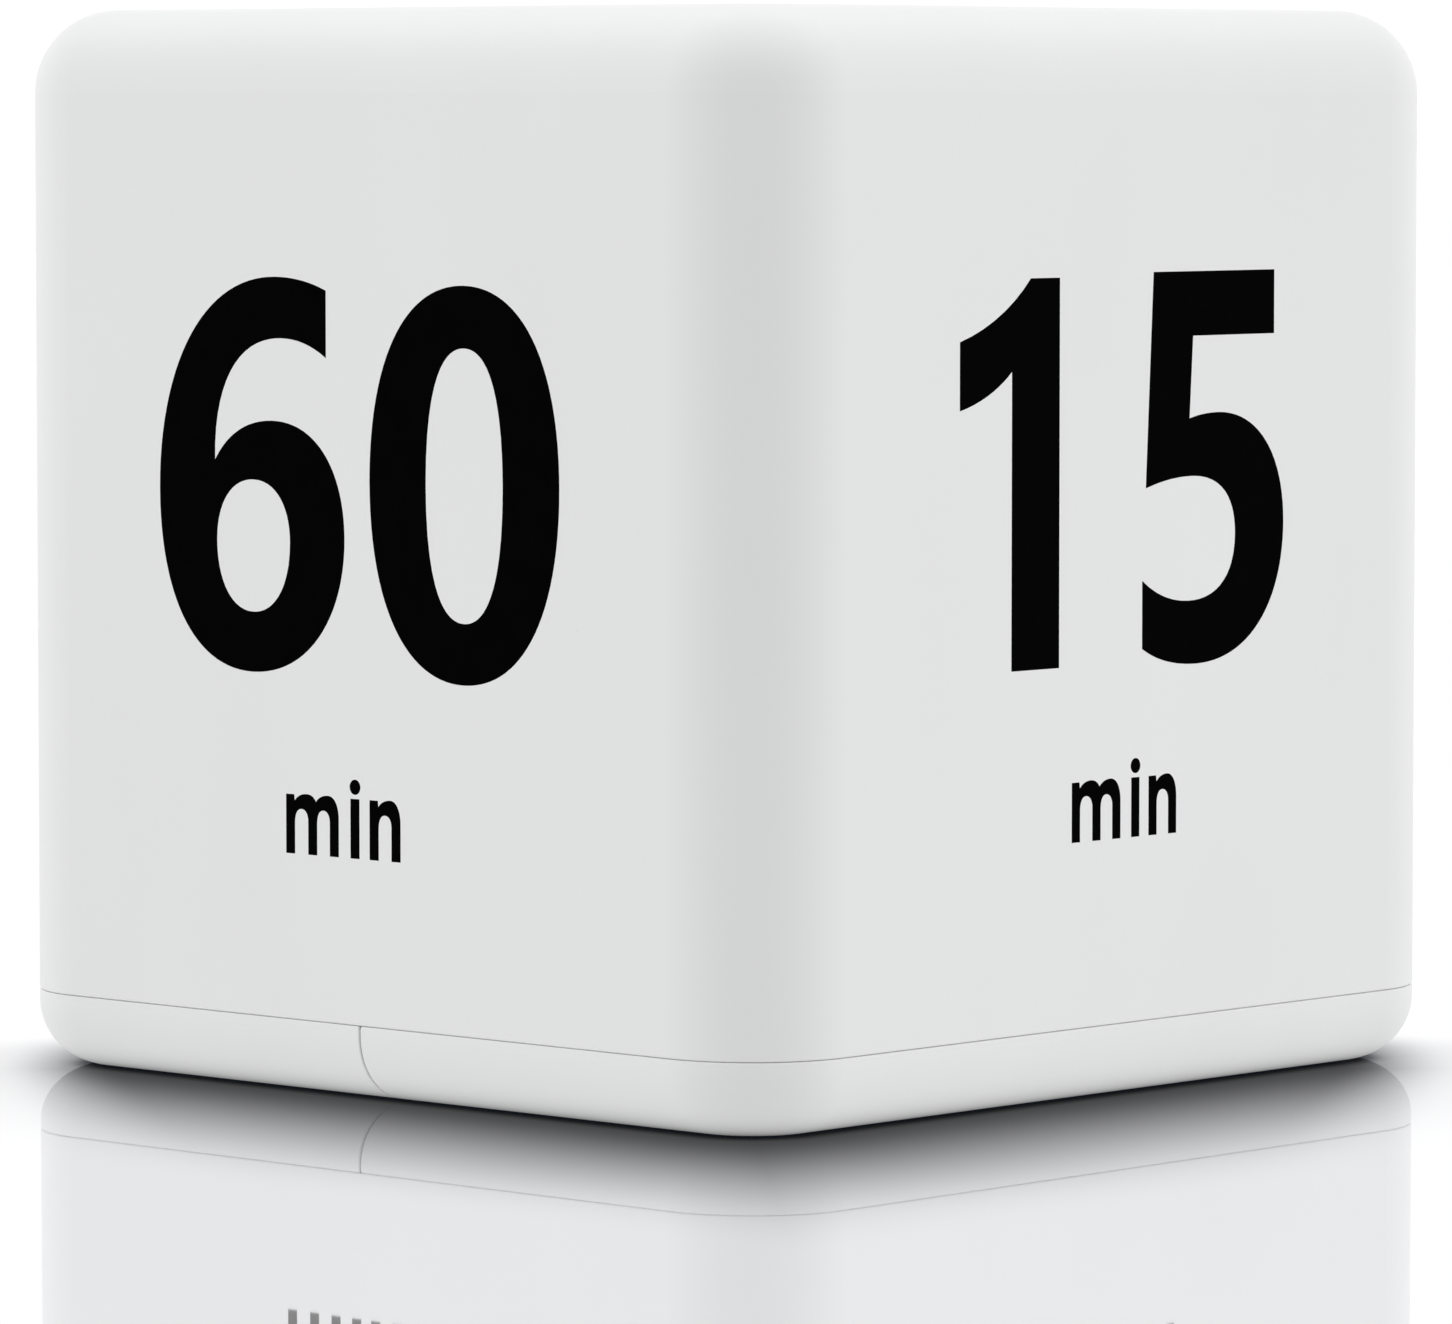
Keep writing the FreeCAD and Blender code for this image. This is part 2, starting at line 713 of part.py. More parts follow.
def switch_base():
    base = block(0, SWITCH_Y, 8.1, 3.3, BOARD_TOP, SWITCH_BASE_TOP)
    return base.cut(Part.makeCompound(switch_terminals()))


def switch_tabs():
    low = BOARD_BOTTOM - 0.8
    return [block(s * 4.25, SWITCH_Y, 0.3, 1.4, low, BOARD_TOP + 0.2) for s in (-1, 1)]


def switch_shell():
    """Folded steel cover with two feet through the board."""
    top = SWITCH_SHELL_TOP
    shell = rounded(0, SWITCH_Y, 8.8, 4.0, BOARD_TOP, top, 0.3)
    shell = shell.cut(block(0, SWITCH_Y, 8.2, 3.4, BOARD_TOP - 1, top - 0.3))
    shell = shell.cut(block(0, SWITCH_Y, SWITCH_TRAVEL + 2.2, 1.9, top - 1, top + 1))
    return join(shell, *switch_tabs())


# ---------------------------------------------------------------- indicator lamp
def lamp_chip():
    """Surface lamp: a body with a round lens on it."""
    body = block(0, LAMP_Y, 3.2, 2.4, BOARD_TOP, BOARD_TOP + 0.6)
    dome = rod(0, LAMP_Y, BOARD_TOP + 0.5, BOARD_TOP + 1.1, 1.0)
    dome = dome.makeFillet(0.3, level_edges(dome, BOARD_TOP + 1.1))
    return join(body, dome)


def lamp_lens():
    """Light pipe from the lamp to the display face, with a flange under the face."""
    top = HEIGHT - 0.05
    stem = rod(0, LAMP_Y, BOARD_TOP + 1.5, top, LAMP_R)
    stem = stem.makeFillet(0.6, level_edges(stem, top))
    return join(stem, rod(0, LAMP_Y, FACE_IN - 0.9, FACE_IN - 0.1, LAMP_FLANGE_R))


# ---------------------------------------------------------------- circuit board
def tilt_frame(label):
    """Placement of one ball switch: local +X runs out along the can."""
    heading, x, y = TILT_PLACES[label]
    turn = FreeCAD.Rotation(Vector(0, 0, 1), heading)
    rise = FreeCAD.Rotation(Vector(0, 1, 0), -TILT_RISE)
    place = FreeCAD.Placement(Vector(x, y, TILT_Z), turn.multiply(rise))
    return place.multiply(FreeCAD.Placement(Vector(-TILT_LENGTH / 2, 0, 0), FreeCAD.Rotation()))


LEAD_R = 0.3


def tilt_leads(label):
    """The can's lead at the inner end and the pin's lead at the outer end, as wires."""
    place = tilt_frame(label)
    leads = []
    for u0, u1 in ((0.1, -2.2), (TILT_LENGTH - 1.9, TILT_LENGTH + 2.0)):
        start = place.multVec(Vector(u0, 0, 0))
        knee = place.multVec(Vector(u1, 0, 0))
        end = Vector(knee.x, knee.y, BOARD_TOP - 0.1)
        leads.append((start, knee, end))
    return leads


def tilt_can(label):
    """Steel can, open at the outer end, with its lead welded to the closed end."""
    place = tilt_frame(label)
    can = Part.makeCylinder(TILT_R, TILT_LENGTH, Vector(0, 0, 0), Vector(1, 0, 0))
    can = can.makeFillet(0.4, [e for e in can.Edges if e.BoundBox.XMax < 0.01])
    hollow_r = TILT_R - TILT_WALL
    can = can.cut(Part.makeCylinder(hollow_r, TILT_LENGTH, Vector(TILT_WALL, 0, 0), Vector(1, 0, 0)))
    can.Placement = place
    lead = bent_wire(tilt_leads(label)[0], 2 * LEAD_R)
    return join(can, lead)


def tilt_ball(label):
    """Rolling contact ball, at rest against the closed end."""
    low = TILT_R - TILT_WALL - TILT_BALL_R - 0.03
    centre = Vector(TILT_WALL + TILT_BALL_R + 0.03, 0, -low)
    return Part.makeSphere(TILT_BALL_R, tilt_frame(label).multVec(centre))


def tilt_plug(label):
    """Insulating bead that closes the outer end and carries the contact pin."""
    start = TILT_LENGTH - 1.5
    bead = Part.makeCylinder(TILT_R - TILT_WALL, 1.5, Vector(start, 0, 0), Vector(1, 0, 0))
    bead = bead.cut(Part.makeCylinder(LEAD_R, 4, Vector(start - 1, 0, 0), Vector(1, 0, 0)))
    bead.Placement = tilt_frame(label)
    return bead


def tilt_pin(label):
    return bent_wire(tilt_leads(label)[1], 2 * LEAD_R)


WIRE_D = 1.2
PAD_PLACES = {  # where each wire meets the underside of the board
    "battery_positive": (-15.5, 21.0),
    "battery_negative": (-5.0, 21.5),
    "buzzer_disc": (22.0, -5.0),
    "buzzer_ceramic": (22.0, 1.0),
}


def lead_holes():
    """Every hole that a lead, blade, foot, peg or screw needs through the board."""
    z0 = BOARD_BOTTOM - 1
    z1 = BOARD_TOP + 1
    holes = [rod(x, y, z0, z1, 1.15) for x, y in mirrored(BOARD_HOLE, BOARD_HOLE)]
    holes += [rod(x, y, z0, z1, PEG_R) for x, y in frame_pegs()]
    for label in TILT_PLACES:
        for _, knee, _ in tilt_leads(label):
            holes.append(rod(knee.x, knee.y, z0, z1, LEAD_R))
    holes += switch_terminals() + switch_tabs()
    return holes


def circuit_board():
    board = rounded(0, 0, BOARD, BOARD, BOARD_BOTTOM, BOARD_TOP, 2.0)
    return board.cut(Part.makeCompound(lead_holes()))


def solder_cone(x, y, r, slim, h, through):
    """One cone of solder under the board round the lead, wire or blade that passes through."""
    cone = Part.makeCone(r, slim, h, Vector(x, y, BOARD_BOTTOM), Vector(0, 0, -1))
    return cone.cut(through)


def solder_joints():
    """Cones of solder under the board at every lead, wire and blade."""
    joints = []
    below = BOARD_BOTTOM - 2
    for label in TILT_PLACES:
        for _, knee, _ in tilt_leads(label):
            lead = rod(knee.x, knee.y, below, BOARD_BOTTOM, LEAD_R)
            joints.append(solder_cone(knee.x, knee.y, 0.85, 0.45, 0.5, lead))
    for x, y in PAD_PLACES.values():
        wire = rod(x, y, below, BOARD_BOTTOM, WIRE_D / 2)
        joints.append(solder_cone(x, y, 1.4, 0.9, 0.6, wire))
    for blade in switch_terminals():
        c = blade.BoundBox.Center
        joints.append(solder_cone(c.x, c.y, 0.75, 0.55, 0.6, blade))
    return joints


def chip_blob():
    """Domed resin over the timer chip, under the middle of the board."""
    r = 6.0
    h = 1.6
    ball_r = (r * r + h * h) / (2 * h)
    ball = Part.makeSphere(ball_r, Vector(0, 0, BOARD_BOTTOM - h + ball_r))
    return ball.common(box(-r - 1, r + 1, -r - 1, r + 1, BOARD_BOTTOM - h - 1, BOARD_BOTTOM))


def crystal():
    """Small can crystal lying under the board with its two leads."""
    x = -19.0
    z = BOARD_BOTTOM - 1.05
    can = Part.makeCylinder(1.0, 6.0, Vector(x, -4, z), Vector(0, 1, 0))
    can = can.makeFillet(0.25, can.Edges)
    leads = [rod_y(x + s * 0.35, z, 1.8, 4.2, 0.15) for s in (-1, 1)]
    return join(can, *leads)


RESISTORS = [(-8, 6), (-8, 3.5), (8, 5), (8, 2.5), (8, 0), (-3, -9.5), (0, -9.5), (3, -9.5)]
CAPACITORS = [(-9, -1.5), (-15.5, -3), (4.5, 8.5), (-4, 8.5)]


def surface_parts(places, lx, ly, h):
    """Small parts with a metal cap at each end, as one solid each."""
    return [block(x, y, lx, ly, BOARD_BOTTOM - h, BOARD_BOTTOM) for x, y in places]


def transistor():
    """Buzzer driver: a three-legged surface package."""
    x = 15.0
    y = -3.0
    body = block(x, y, 2.9, 1.3, BOARD_BOTTOM - 1.0, BOARD_BOTTOM - 0.1)
    body = body.makeChamfer(0.2, level_edges(body, BOARD_BOTTOM - 1.0))
    legs = []
    for dx, s in ((-0.95, 1), (0.95, 1), (0, -1)):
        legs.append(block(x + dx, y + s * 0.95, 0.4, 0.8, BOARD_BOTTOM - 0.2, BOARD_BOTTOM))
    return join(body, *legs)


def smoothing_capacitor():
    """Upright can capacitor with a scored top, hanging under the board."""
    x = 18.5
    y = 8.0
    z0 = BOARD_BOTTOM - 5.4
    can = rod(x, y, z0, BOARD_BOTTOM - 0.3, 2.0)
    can = can.makeFillet(0.3, level_edges(can, z0))
    collar = ring(x, y, BOARD_BOTTOM - 1.5, BOARD_BOTTOM - 1.1, 1.8, 2.4)
    foot = block(x, y, 4.4, 4.4, BOARD_BOTTOM - 0.6, BOARD_BOTTOM)
    can = can.cut(collar)
    scores = [block(x, y, 2.6, 0.2, z0 - 1, z0 + 0.15), block(x, y, 0.2, 2.6, z0 - 1, z0 + 0.15)]
    return join(can, foot).cut(Part.makeCompound(scores))


def screw(x, y, seat_z, length, r, head_r, head_h):
    """Self-tapping pan-head screw driven upwards, with ring threads and a cross recess."""
    pitch = 0.6
    core = r * 0.78
    profile = [(0, -head_h), (head_r * 0.75, -head_h), (head_r, -head_h * 0.45), (head_r, 0), (core, 0)]
    z = 0.3
    while z < length - 2 * pitch:
        crest = z + 0.35 * pitch
        profile += [(core, z), (r, crest), (r, crest + 0.1 * pitch), (core, z + 0.8 * pitch)]
        z += pitch
    profile += [(core, length - 1.5 * pitch), (0.15, length), (0, length)]
    body = turned(profile, Vector(x, y, seat_z))
    low = seat_z - head_h
    arm = head_r * 1.1
    slot = 0.35
    top = low + head_h * 0.55
    recess = [block(x, y, arm, slot, low - 1, top), block(x, y, slot, arm, low - 1, top)]
    return body.cut(Part.makeCompound(recess))


def board_screws():
    places = mirrored(BOARD_HOLE, BOARD_HOLE)
    return [screw(x, y, BOARD_BOTTOM, 5.0, BOARD_SCREW_R, 1.8, 1.2) for x, y in places]


def base_screws():
    return [screw(POST_X, s * POST_Y, BASE_SCREW_SEAT, 9.0, BASE_SCREW_R, 2.1, 1.5) for s in (-1, 1)]


# ---------------------------------------------------------------- base, door and buzzer
def base_form():
    """Outer form of the whole base, from the underside to the parting line."""
    top = SEAM_Z - SEAM_GAP / 2
    return rounded(0, 0, SIDE, SIDE, 0, top, CORNER_R, EDGE_BREAK, BASE_R)


def break_parting_edge(shape, x):
    """Rounds the outer edges where the form is cut across at x."""
    edges = []
    for e in shape.Edges:
        b = e.BoundBox
        outer = b.ZMax < 0.01 or max(abs(b.YMin), abs(b.YMax)) > HALF - BASE_R - 0.01
        if abs(b.XMin - x) < 1e-3 and abs(b.XMax - x) < 1e-3 and outer:
            edges.append(e)
    return shape.makeFillet(EDGE_BREAK * 0.8, edges)


def cells():
    """Middle X of each cell, and the Y direction that its positive end points."""
    return [(BAY_X - CELL_PITCH / 2, 1), (BAY_X + CELL_PITCH / 2, -1)]


def battery_bay():
    """Inside of the bay, open at the bottom."""
    return box(BAY_X - BAY_HALF_X, BAY_X + BAY_HALF_X, -BAY_HALF_Y, BAY_HALF_Y, 0, BAY_ROOF)


def sound_holes():
    places = [(BUZZER_X, 0.0)]
    for i in range(6):
        a = math.radians(60 * i)
        places.append((BUZZER_X + 4.2 * math.cos(a), 4.2 * math.sin(a)))
    return [rod(x, y, -1, FLOOR + 1, 0.9) for x, y in places]


def tab_slots():
    """Slots in the bay roof for the tabs of the two end contacts."""
    y = PLATE_Y + PLATE_T / 2
    return [block(x, y, 3.4, 0.65, BAY_ROOF - 1, 16) for x, _ in cells()]


def polarity_marks():
    """Plus and minus signs sunk in the bay roof at each cell's ends."""
    z0 = BAY_ROOF - 1
    z1 = BAY_ROOF + 0.3
    marks = []
    for x, way in cells():
        y = way * 18.0
        marks.append(block(x, y, 3.0, 0.7, z0, z1))
        marks.append(block(x, y, 0.7, 3.0, z0, z1))
        marks.append(block(x, -y, 3.0, 0.7, z0, z1))
    return marks


def base_cover():
    """Fixed half of the base, with the shelf above the door, the bay and the locating lip."""
    top = SEAM_Z - SEAM_GAP / 2
    edge = DOOR_X + DOOR_GAP / 2
    lip_outer = 2 * (INNER - FIT)
    lip_inner = lip_outer - 2 * LIP_T
    lip_r = INNER_R - FIT

    right = base_form().common(box(edge, HALF + 1, -HALF - 1, HALF + 1, -1, 10))
    right = break_parting_edge(right, edge)
    tray = rounded(0, 0, lip_inner, lip_inner, FLOOR, 10, lip_r - LIP_T, bottom=1.0)
    right = right.cut(tray.common(box(edge + 1.8, HALF, -HALF, HALF, 0, 20)))

    plan = rounded(0, 0, lip_outer, lip_outer, SHELF_Z, top, lip_r)
    shelf = plan.common(box(-HALF, edge + 1.8, -HALF, HALF, 0, 20))
    lip = rounded(0, 0, lip_outer, lip_outer, top - 0.5, LIP_TOP, lip_r, top=0.3)
    lip = lip.cut(rounded(0, 0, lip_inner, lip_inner, 0, 20, lip_r - LIP_T))

    bay_x = 2 * (BAY_HALF_X + BAY_WALL)
    bay_y = 2 * (BAY_HALF_Y + BAY_WALL)
    bay_wall = rounded(BAY_X, 0, bay_x, bay_y, top - 0.5, BAY_ROOF + BAY_WALL, 1.0, top=0.8)
    tubes = [rod(POST_X, s * POST_Y, FLOOR - 0.5, POST_FOOT - 0.1, 3.5) for s in (-1, 1)]
    hooks = []
    for s in (-1, 1):
        y = s * HOOK_Y
        reach = HOOK_WIDTH / 2
        hooks.append(box(-INNER - 0.65, -INNER + 0.6, y - reach, y + reach, HOOK_LOW, HOOK_HIGH))
    body = join(right, shelf, lip, bay_wall, *tubes, *hooks)

    cell_divider = block(BAY_X, 0, 0.9, 40.0, 10.6, BAY_ROOF + 0.5)
    cuts = [battery_bay().cut(cell_divider)] + tab_slots() + polarity_marks() + sound_holes()
    for s in (-1, 1):
        y = s * POST_Y
        cuts.append(rod(POST_X, y, -1, BASE_SCREW_SEAT, SCREW_WELL_R))
        cuts.append(rod(POST_X, y, BASE_SCREW_SEAT - 0.2, 9, BASE_SCREW_R + 0.2))
        inner = s * (TONGUE_IN - 0.2)
        low = TONGUE_LOW - FIT
        high = TONGUE_HIGH + FIT
        cuts.append(box(-HALF, DOOR_X - 0.1, inner, s * HALF, low, high))
    latch_seat = box(-2.3, -0.9, -5, 5, SHELF_Z - 1, SHELF_Z + 0.4)
    cuts.append(latch_seat)
    return body.cut(Part.makeCompound(cuts)).removeSplitter()


def battery_door():
    """Sliding door: half the underside with its rim, side tongues, latch and grip grooves."""
    edge = DOOR_X - DOOR_GAP / 2
    door = base_form().common(box(-HALF - 1, edge, -HALF - 1, HALF + 1, -1, 10))
    door = break_parting_edge(door, edge)
    hollow = rounded(0, 0, 2 * INNER, 2 * INNER, DOOR_T, 10, INNER_R, bottom=0.6)
    door = door.cut(hollow.common(box(-HALF, HALF, -HALF, HALF, 0, 20)))
    tongues = []
    for s in (-1, 1):
        tongues.append(box(-24, -2, s * TONGUE_IN, s * (INNER + 0.5), TONGUE_LOW, TONGUE_HIGH))
    latch = Part.makeCylinder(0.28, 8.0, Vector(-1.6, -4, DOOR_T), Vector(0, 1, 0))
    door = join(door, *tongues, latch)
    cuts = [box(-9, edge + 1, s * 5.3 - 0.3, s * 5.3 + 0.3, -1, DOOR_T + 0.1) for s in (-1, 1)]
    for i in range(5):
        centre = Vector(-26.0 + 2.2 * i, 0, -0.25)
        half = 9.0 - 0.9 * abs(i - 2)
        groove = Part.makeCylinder(0.75, 2 * half, centre - Vector(0, half, 0), Vector(0, 1, 0))
        cuts.append(groove)
    return door.cut(Part.makeCompound(cuts)).removeSplitter()


def buzzer_ring():
    """Moulded seat that holds the buzzer's disc above the sound holes."""
    seat = ring(BUZZER_X, 0, FLOOR, DISC_Z + 1.4, DISC_R - 0.8, BUZZER_R)
    return seat.cut(rod(BUZZER_X, 0, DISC_Z, DISC_Z + 2, DISC_R + 0.1))


def buzzer_disc():
    return rod(BUZZER_X, 0, DISC_Z, DISC_Z + DISC_T, DISC_R)


def buzzer_ceramic():
    return rod(BUZZER_X, 0, DISC_Z + DISC_T, DISC_Z + 2 * DISC_T, 7.0)


# ---------------------------------------------------------------- cells and contacts
def along_cell(profile, x, way):
    """Turned piece of one cell, from (radius, height above the negative end) points."""
    negative = -way * (CELL_LENGTH - (PLATE_Y - BUMP))
    return turned(profile, Vector(x, negative, CELL_Z), Vector(0, way, 0))


def cell_can(x, way):
    """Steel can of one cell: positive button at one end, rim crimped in at the open end."""
    r = CAN_R
    w = CAN_WALL
    profile = [
        (r - 0.9, 0),
        (r - 0.5, 0),
        (r, 0.5),
        (r, CELL_BODY - 0.6),
        (r - 0.6, CELL_BODY),
        (2.2, CELL_BODY),
        (1.9, CELL_BODY - 0.1),
        (1.8, CELL_LENGTH - 0.2),
        (1.6, CELL_LENGTH),
        (0, CELL_LENGTH),
        (0, CELL_LENGTH - w),
        (1.4, CELL_LENGTH - w),
        (1.4, CELL_BODY - w),
        (r - w - 0.5, CELL_BODY - w),
        (r - w, CELL_BODY - w - 0.5),
        (r - w, 0.7),
        (r - 0.9, 0.35),
    ]
    return along_cell(profile, x, way)


def cell_core(x, way):
    """Everything inside one can, as one filling."""
    r = CAN_R - CAN_WALL
    top = CELL_BODY - CAN_WALL
    profile = [
        (0, 0.8),
        (r, 0.8),
        (r, top - 0.5),
        (r - 0.5, top),
        (1.4, top),
        (1.4, CELL_LENGTH - CAN_WALL),
        (0, CELL_LENGTH - CAN_WALL),
    ]
    return along_cell(profile, x, way)


def cell_cap(x, way):
    """Negative cap held by the can's crimped rim."""
    r = CAN_R - CAN_WALL - 0.05
    profile = [(0, 0), (3.7, 0), (4.1, 0.4), (r, 0.75), (r, 0.8), (0, 0.8)]
    return along_cell(profile, x, way)


def cell_sleeve(x, way):
    """Shrunk label round one can, turned in over both ends."""
    r = CELL_R
    can = CAN_R
    profile = [
        (can, 1.0),
        (can, 0.5),
        (can - 0.5, 0),
        (r - 1.3, 0),
        (r - 1.3, -0.15),
        (r - 0.6, -0.15),
        (r, 0.45),
        (r, CELL_BODY - 0.55),
        (r - 0.6, CELL_BODY + 0.15),
        (r - 2.3, CELL_BODY + 0.15),
        (r - 2.3, CELL_BODY),
        (can - 0.6, CELL_BODY),
        (can, CELL_BODY - 0.6),
        (can, CELL_BODY - 1.0),
    ]
    return along_cell(profile, x, way)


def button(x, side):
    """Pressed bump of a contact sheet that touches a positive button."""
    centre = Vector(x, side * PLATE_Y, CELL_Z)
    return Part.makeCone(2.2, 1.3, BUMP, centre, Vector(0, -side, 0))


def sheet(x0, x1, side, z0=CELL_Z - 4.25, z1=CELL_Z + 4.55):
    """Upright contact sheet against one end wall of the bay."""
    plate = box(x0, x1, side * PLATE_Y, side * (PLATE_Y + PLATE_T), z0, z1)
    corners = [e for e in plate.Edges if e.BoundBox.XLength < 1e-3 and e.BoundBox.ZLength < 1e-3]
    return plate.makeFillet(1.2, corners)


def tab(x):
    """Solder tab of an end contact, up through the bay roof."""
    return box(x - 1.5, x + 1.5, PLATE_Y, PLATE_Y + PLATE_T, 11.0, 17.0)


def bridge_contact():
    """Sheet that joins the first cell's negative end to the second cell's positive end."""
    (first, _), (second, _) = cells()
    return join(sheet(first - 4.2, second + 4.2, -1), button(second, -1))


def positive_contact():
    x, _ = cells()[0]
    return join(sheet(x - 4.2, x + 4.2, 1), button(x, 1), tab(x))


def negative_contact():
    x, _ = cells()[1]
    return join(sheet(x - 4.2, x + 4.2, 1), tab(x))


SPRING_WIRE = 0.5
SPRING_WIDE = 3.4  # coil radius at the contact sheet
SPRING_SLIM = 2.1  # coil radius at the cell
SPRING_TURNS = 4
SPRING_STEPS = 8  # bends in one turn


def spring(x, side):
    """Conical spring from a contact sheet to a cell's negative end, as it sits compressed."""
    end = SPRING_WIRE / 2 + 0.03
    rise = 2 * PLATE_Y - BUMP - CELL_LENGTH - 2 * end
    bends = SPRING_TURNS * SPRING_STEPS
    points = []
    for i in range(bends + 1):
        share = i / bends
        angle = 2 * math.pi * SPRING_TURNS * share
        r = SPRING_WIDE + (SPRING_SLIM - SPRING_WIDE) * share
        y = side * (PLATE_Y - end - rise * share)
        points.append(Vector(x + r * math.cos(angle), y, CELL_Z + r * math.sin(angle)))
    return bent_wire(points, SPRING_WIRE)


# ---------------------------------------------------------------- wires
def wire_routes():
    """Points of each insulated wire, from its contact up to the underside of the board."""
    (first, _), (second, _) = cells()
    y = PLATE_Y + PLATE_T / 2
    positive = PAD_PLACES["battery_positive"]
    negative = PAD_PLACES["battery_negative"]
    disc = PAD_PLACES["buzzer_disc"]
    ceramic = PAD_PLACES["buzzer_ceramic"]
    return {
        "battery_positive": [
            (first, y, 17.0), (first, y, 23.0), (first + 0.5, 24.0, 31.0),
            (positive[0] - 2.5, 19.5, 39.5), (*positive, 47.0), (*positive, BOARD_BOTTOM),
        ],
        "battery_negative": [
            (second, y, 17.0), (second, y, 24.0), (second - 1.0, 21.5, 32.0),
            (negative[0] + 1.0, 19.0, 40.0), (*negative, 47.5), (*negative, BOARD_BOTTOM),
        ],
        "buzzer_disc": [
            (BUZZER_X + 8.4, 0.0, 4.2), (BUZZER_X + 8.4, 0.0, 11.0), (20.0, -3.0, 20.0),
            (21.5, -8.0, 31.0), (*disc, 44.0), (*disc, BOARD_BOTTOM),
        ],
        "buzzer_ceramic": [
            (BUZZER_X + 2.0, 4.0, 4.4), (BUZZER_X + 2.0, 4.0, 12.0), (18.0, 7.0, 21.0),
            (22.5, 4.5, 32.0), (*ceramic, 44.0), (*ceramic, BOARD_BOTTOM),
        ],
    }


# ---------------------------------------------------------------- write every node
def build():
    os.makedirs("parts", exist_ok=True)
    ink = {label: marking(label) for label in MARKING}
    marks = switch_marks()
    every_mark = [solid for solids in ink.values() for solid in solids] + marks
    save("housing", housing(every_mark))
    for label, solids in ink.items():
        save(f"marking_{label}_min", *solids)
    save("switch_marks", *marks)
    save("display_window", display_window())
    save("window_tape", window_tape())

    save("display_front_glass", front_glass())
    save("display_rear_glass", rear_glass())
    save("display_reflector", reflector())
    save("display_segments", *display_segments())
    save("zebra_strips", zebra_strip(1), zebra_strip(-1))
    save("display_frame", display_frame())

    save("power_knob", knob())
    save("switch_lever", switch_lever())
    save("switch_base", switch_base())
    save("switch_shell", switch_shell())
    save("switch_terminals", *switch_terminals())

    save("lamp_chip", lamp_chip())
    save("lamp_lens", lamp_lens())

    save("circuit_board", circuit_board())
    save("chip_blob", chip_blob())
    save("crystal", crystal())
    save("resistors", *surface_parts(RESISTORS, 2.0, 1.25, 0.5))
    save("chip_capacitors", *surface_parts(CAPACITORS, 1.6, 0.9, 0.8))
    save("transistor", transistor())
    save("smoothing_capacitor", smoothing_capacitor())
    save("solder_joints", *solder_joints())
    save("board_screws", *board_screws())

    for label in TILT_PLACES:
        save(f"tilt_can_{label}", tilt_can(label))
        save(f"tilt_ball_{label}", tilt_ball(label))
    save("tilt_plugs", *[tilt_plug(label) for label in TILT_PLACES])
    save("tilt_pins", *[tilt_pin(label) for label in TILT_PLACES])

    save("base_cover", base_cover())
    save("battery_door", battery_door())
    save("base_screws", *base_screws())
    save("buzzer_ring", buzzer_ring())
    save("buzzer_disc", buzzer_disc())
    save("buzzer_ceramic", buzzer_ceramic())

    for name, (x, way) in zip(("left", "right"), cells()):
        save(f"battery_can_{name}", cell_can(x, way))
        save(f"battery_sleeve_{name}", cell_sleeve(x, way))
    save("battery_cores", *[cell_core(x, way) for x, way in cells()])
    save("battery_caps", *[cell_cap(x, way) for x, way in cells()])
    save("battery_springs", *[spring(x, -way) for x, way in cells()])
    save("bridge_contact", bridge_contact())
    save("positive_contact", positive_contact())
    save("negative_contact", negative_contact())

    for name, route in wire_routes().items():
        save(f"wire_{name}", bent_wire([Vector(*p) for p in route], WIRE_D, name))


build()
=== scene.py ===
"""Looks of the cube kitchen timer: materials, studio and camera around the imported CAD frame."""

import bpy
import json
import math
from functools import partial
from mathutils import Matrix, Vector


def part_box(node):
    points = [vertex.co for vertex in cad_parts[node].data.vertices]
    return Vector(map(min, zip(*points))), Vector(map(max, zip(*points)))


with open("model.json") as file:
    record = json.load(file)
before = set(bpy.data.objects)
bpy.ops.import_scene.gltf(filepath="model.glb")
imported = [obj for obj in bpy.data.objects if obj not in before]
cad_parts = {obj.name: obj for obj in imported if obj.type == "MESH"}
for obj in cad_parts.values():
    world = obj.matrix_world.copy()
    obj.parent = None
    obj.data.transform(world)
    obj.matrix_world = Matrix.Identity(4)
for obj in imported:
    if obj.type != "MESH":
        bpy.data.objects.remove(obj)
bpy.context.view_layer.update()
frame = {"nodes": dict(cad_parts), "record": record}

MM = 0.001  # in metres
WHITE = (0.80, 0.803, 0.808)  # of the case
BLACK = (0.012, 0.012, 0.012)
INK = (0.0008, 0.0008, 0.0008)
NOISE_SPAN = (0.3, 0.7)  # that most values of a noise texture are in


# ---------------------------------------------------------------- node helpers
def shader(name):
    """New material with a Principled shader: returns it, its tree and that shader."""
    mat = bpy.data.materials.new(name)
    mat.use_nodes = True
    tree = mat.node_tree
    bsdf = next(n for n in tree.nodes if n.type == "BSDF_PRINCIPLED")
    return mat, tree, bsdf


def bare_shader(name):
    """New material without a shader: returns it, its tree and its Surface socket."""
    mat, tree, bsdf = shader(name)
    tree.nodes.remove(bsdf)
    out = next(n for n in tree.nodes if n.type == "OUTPUT_MATERIAL")
    return mat, tree, out.inputs["Surface"]


def node(tree, kind, inputs=None, **settings):
    """New node with its settings and the values of its inputs."""
    made = tree.nodes.new(kind)
    for key, value in settings.items():
        setattr(made, key, value)
    for key, value in (inputs or {}).items():
        made.inputs[key].default_value = value
    return made


def link(tree, out, into):
    tree.links.new(out, into)


def feed(tree, value, socket):
    """Gives a socket a number or an output."""
    if isinstance(value, (int, float)):
        socket.default_value = value
    else:
        link(tree, value, socket)


def place(tree, stretch=(1, 1, 1)):
    """Position in metres in the frame of the piece, stretched along the axes."""
    coords = node(tree, "ShaderNodeTexCoord")
    if stretch == (1, 1, 1):
        return coords.outputs["Object"]
    mapping = node(tree, "ShaderNodeMapping", {"Scale": stretch})
    link(tree, coords.outputs["Object"], mapping.inputs["Vector"])
    return mapping.outputs["Vector"]


def axes(tree):
    """X, Y and Z of the position in metres, as outputs."""
    split = node(tree, "ShaderNodeSeparateXYZ")
    link(tree, place(tree), split.inputs[0])
    return split.outputs


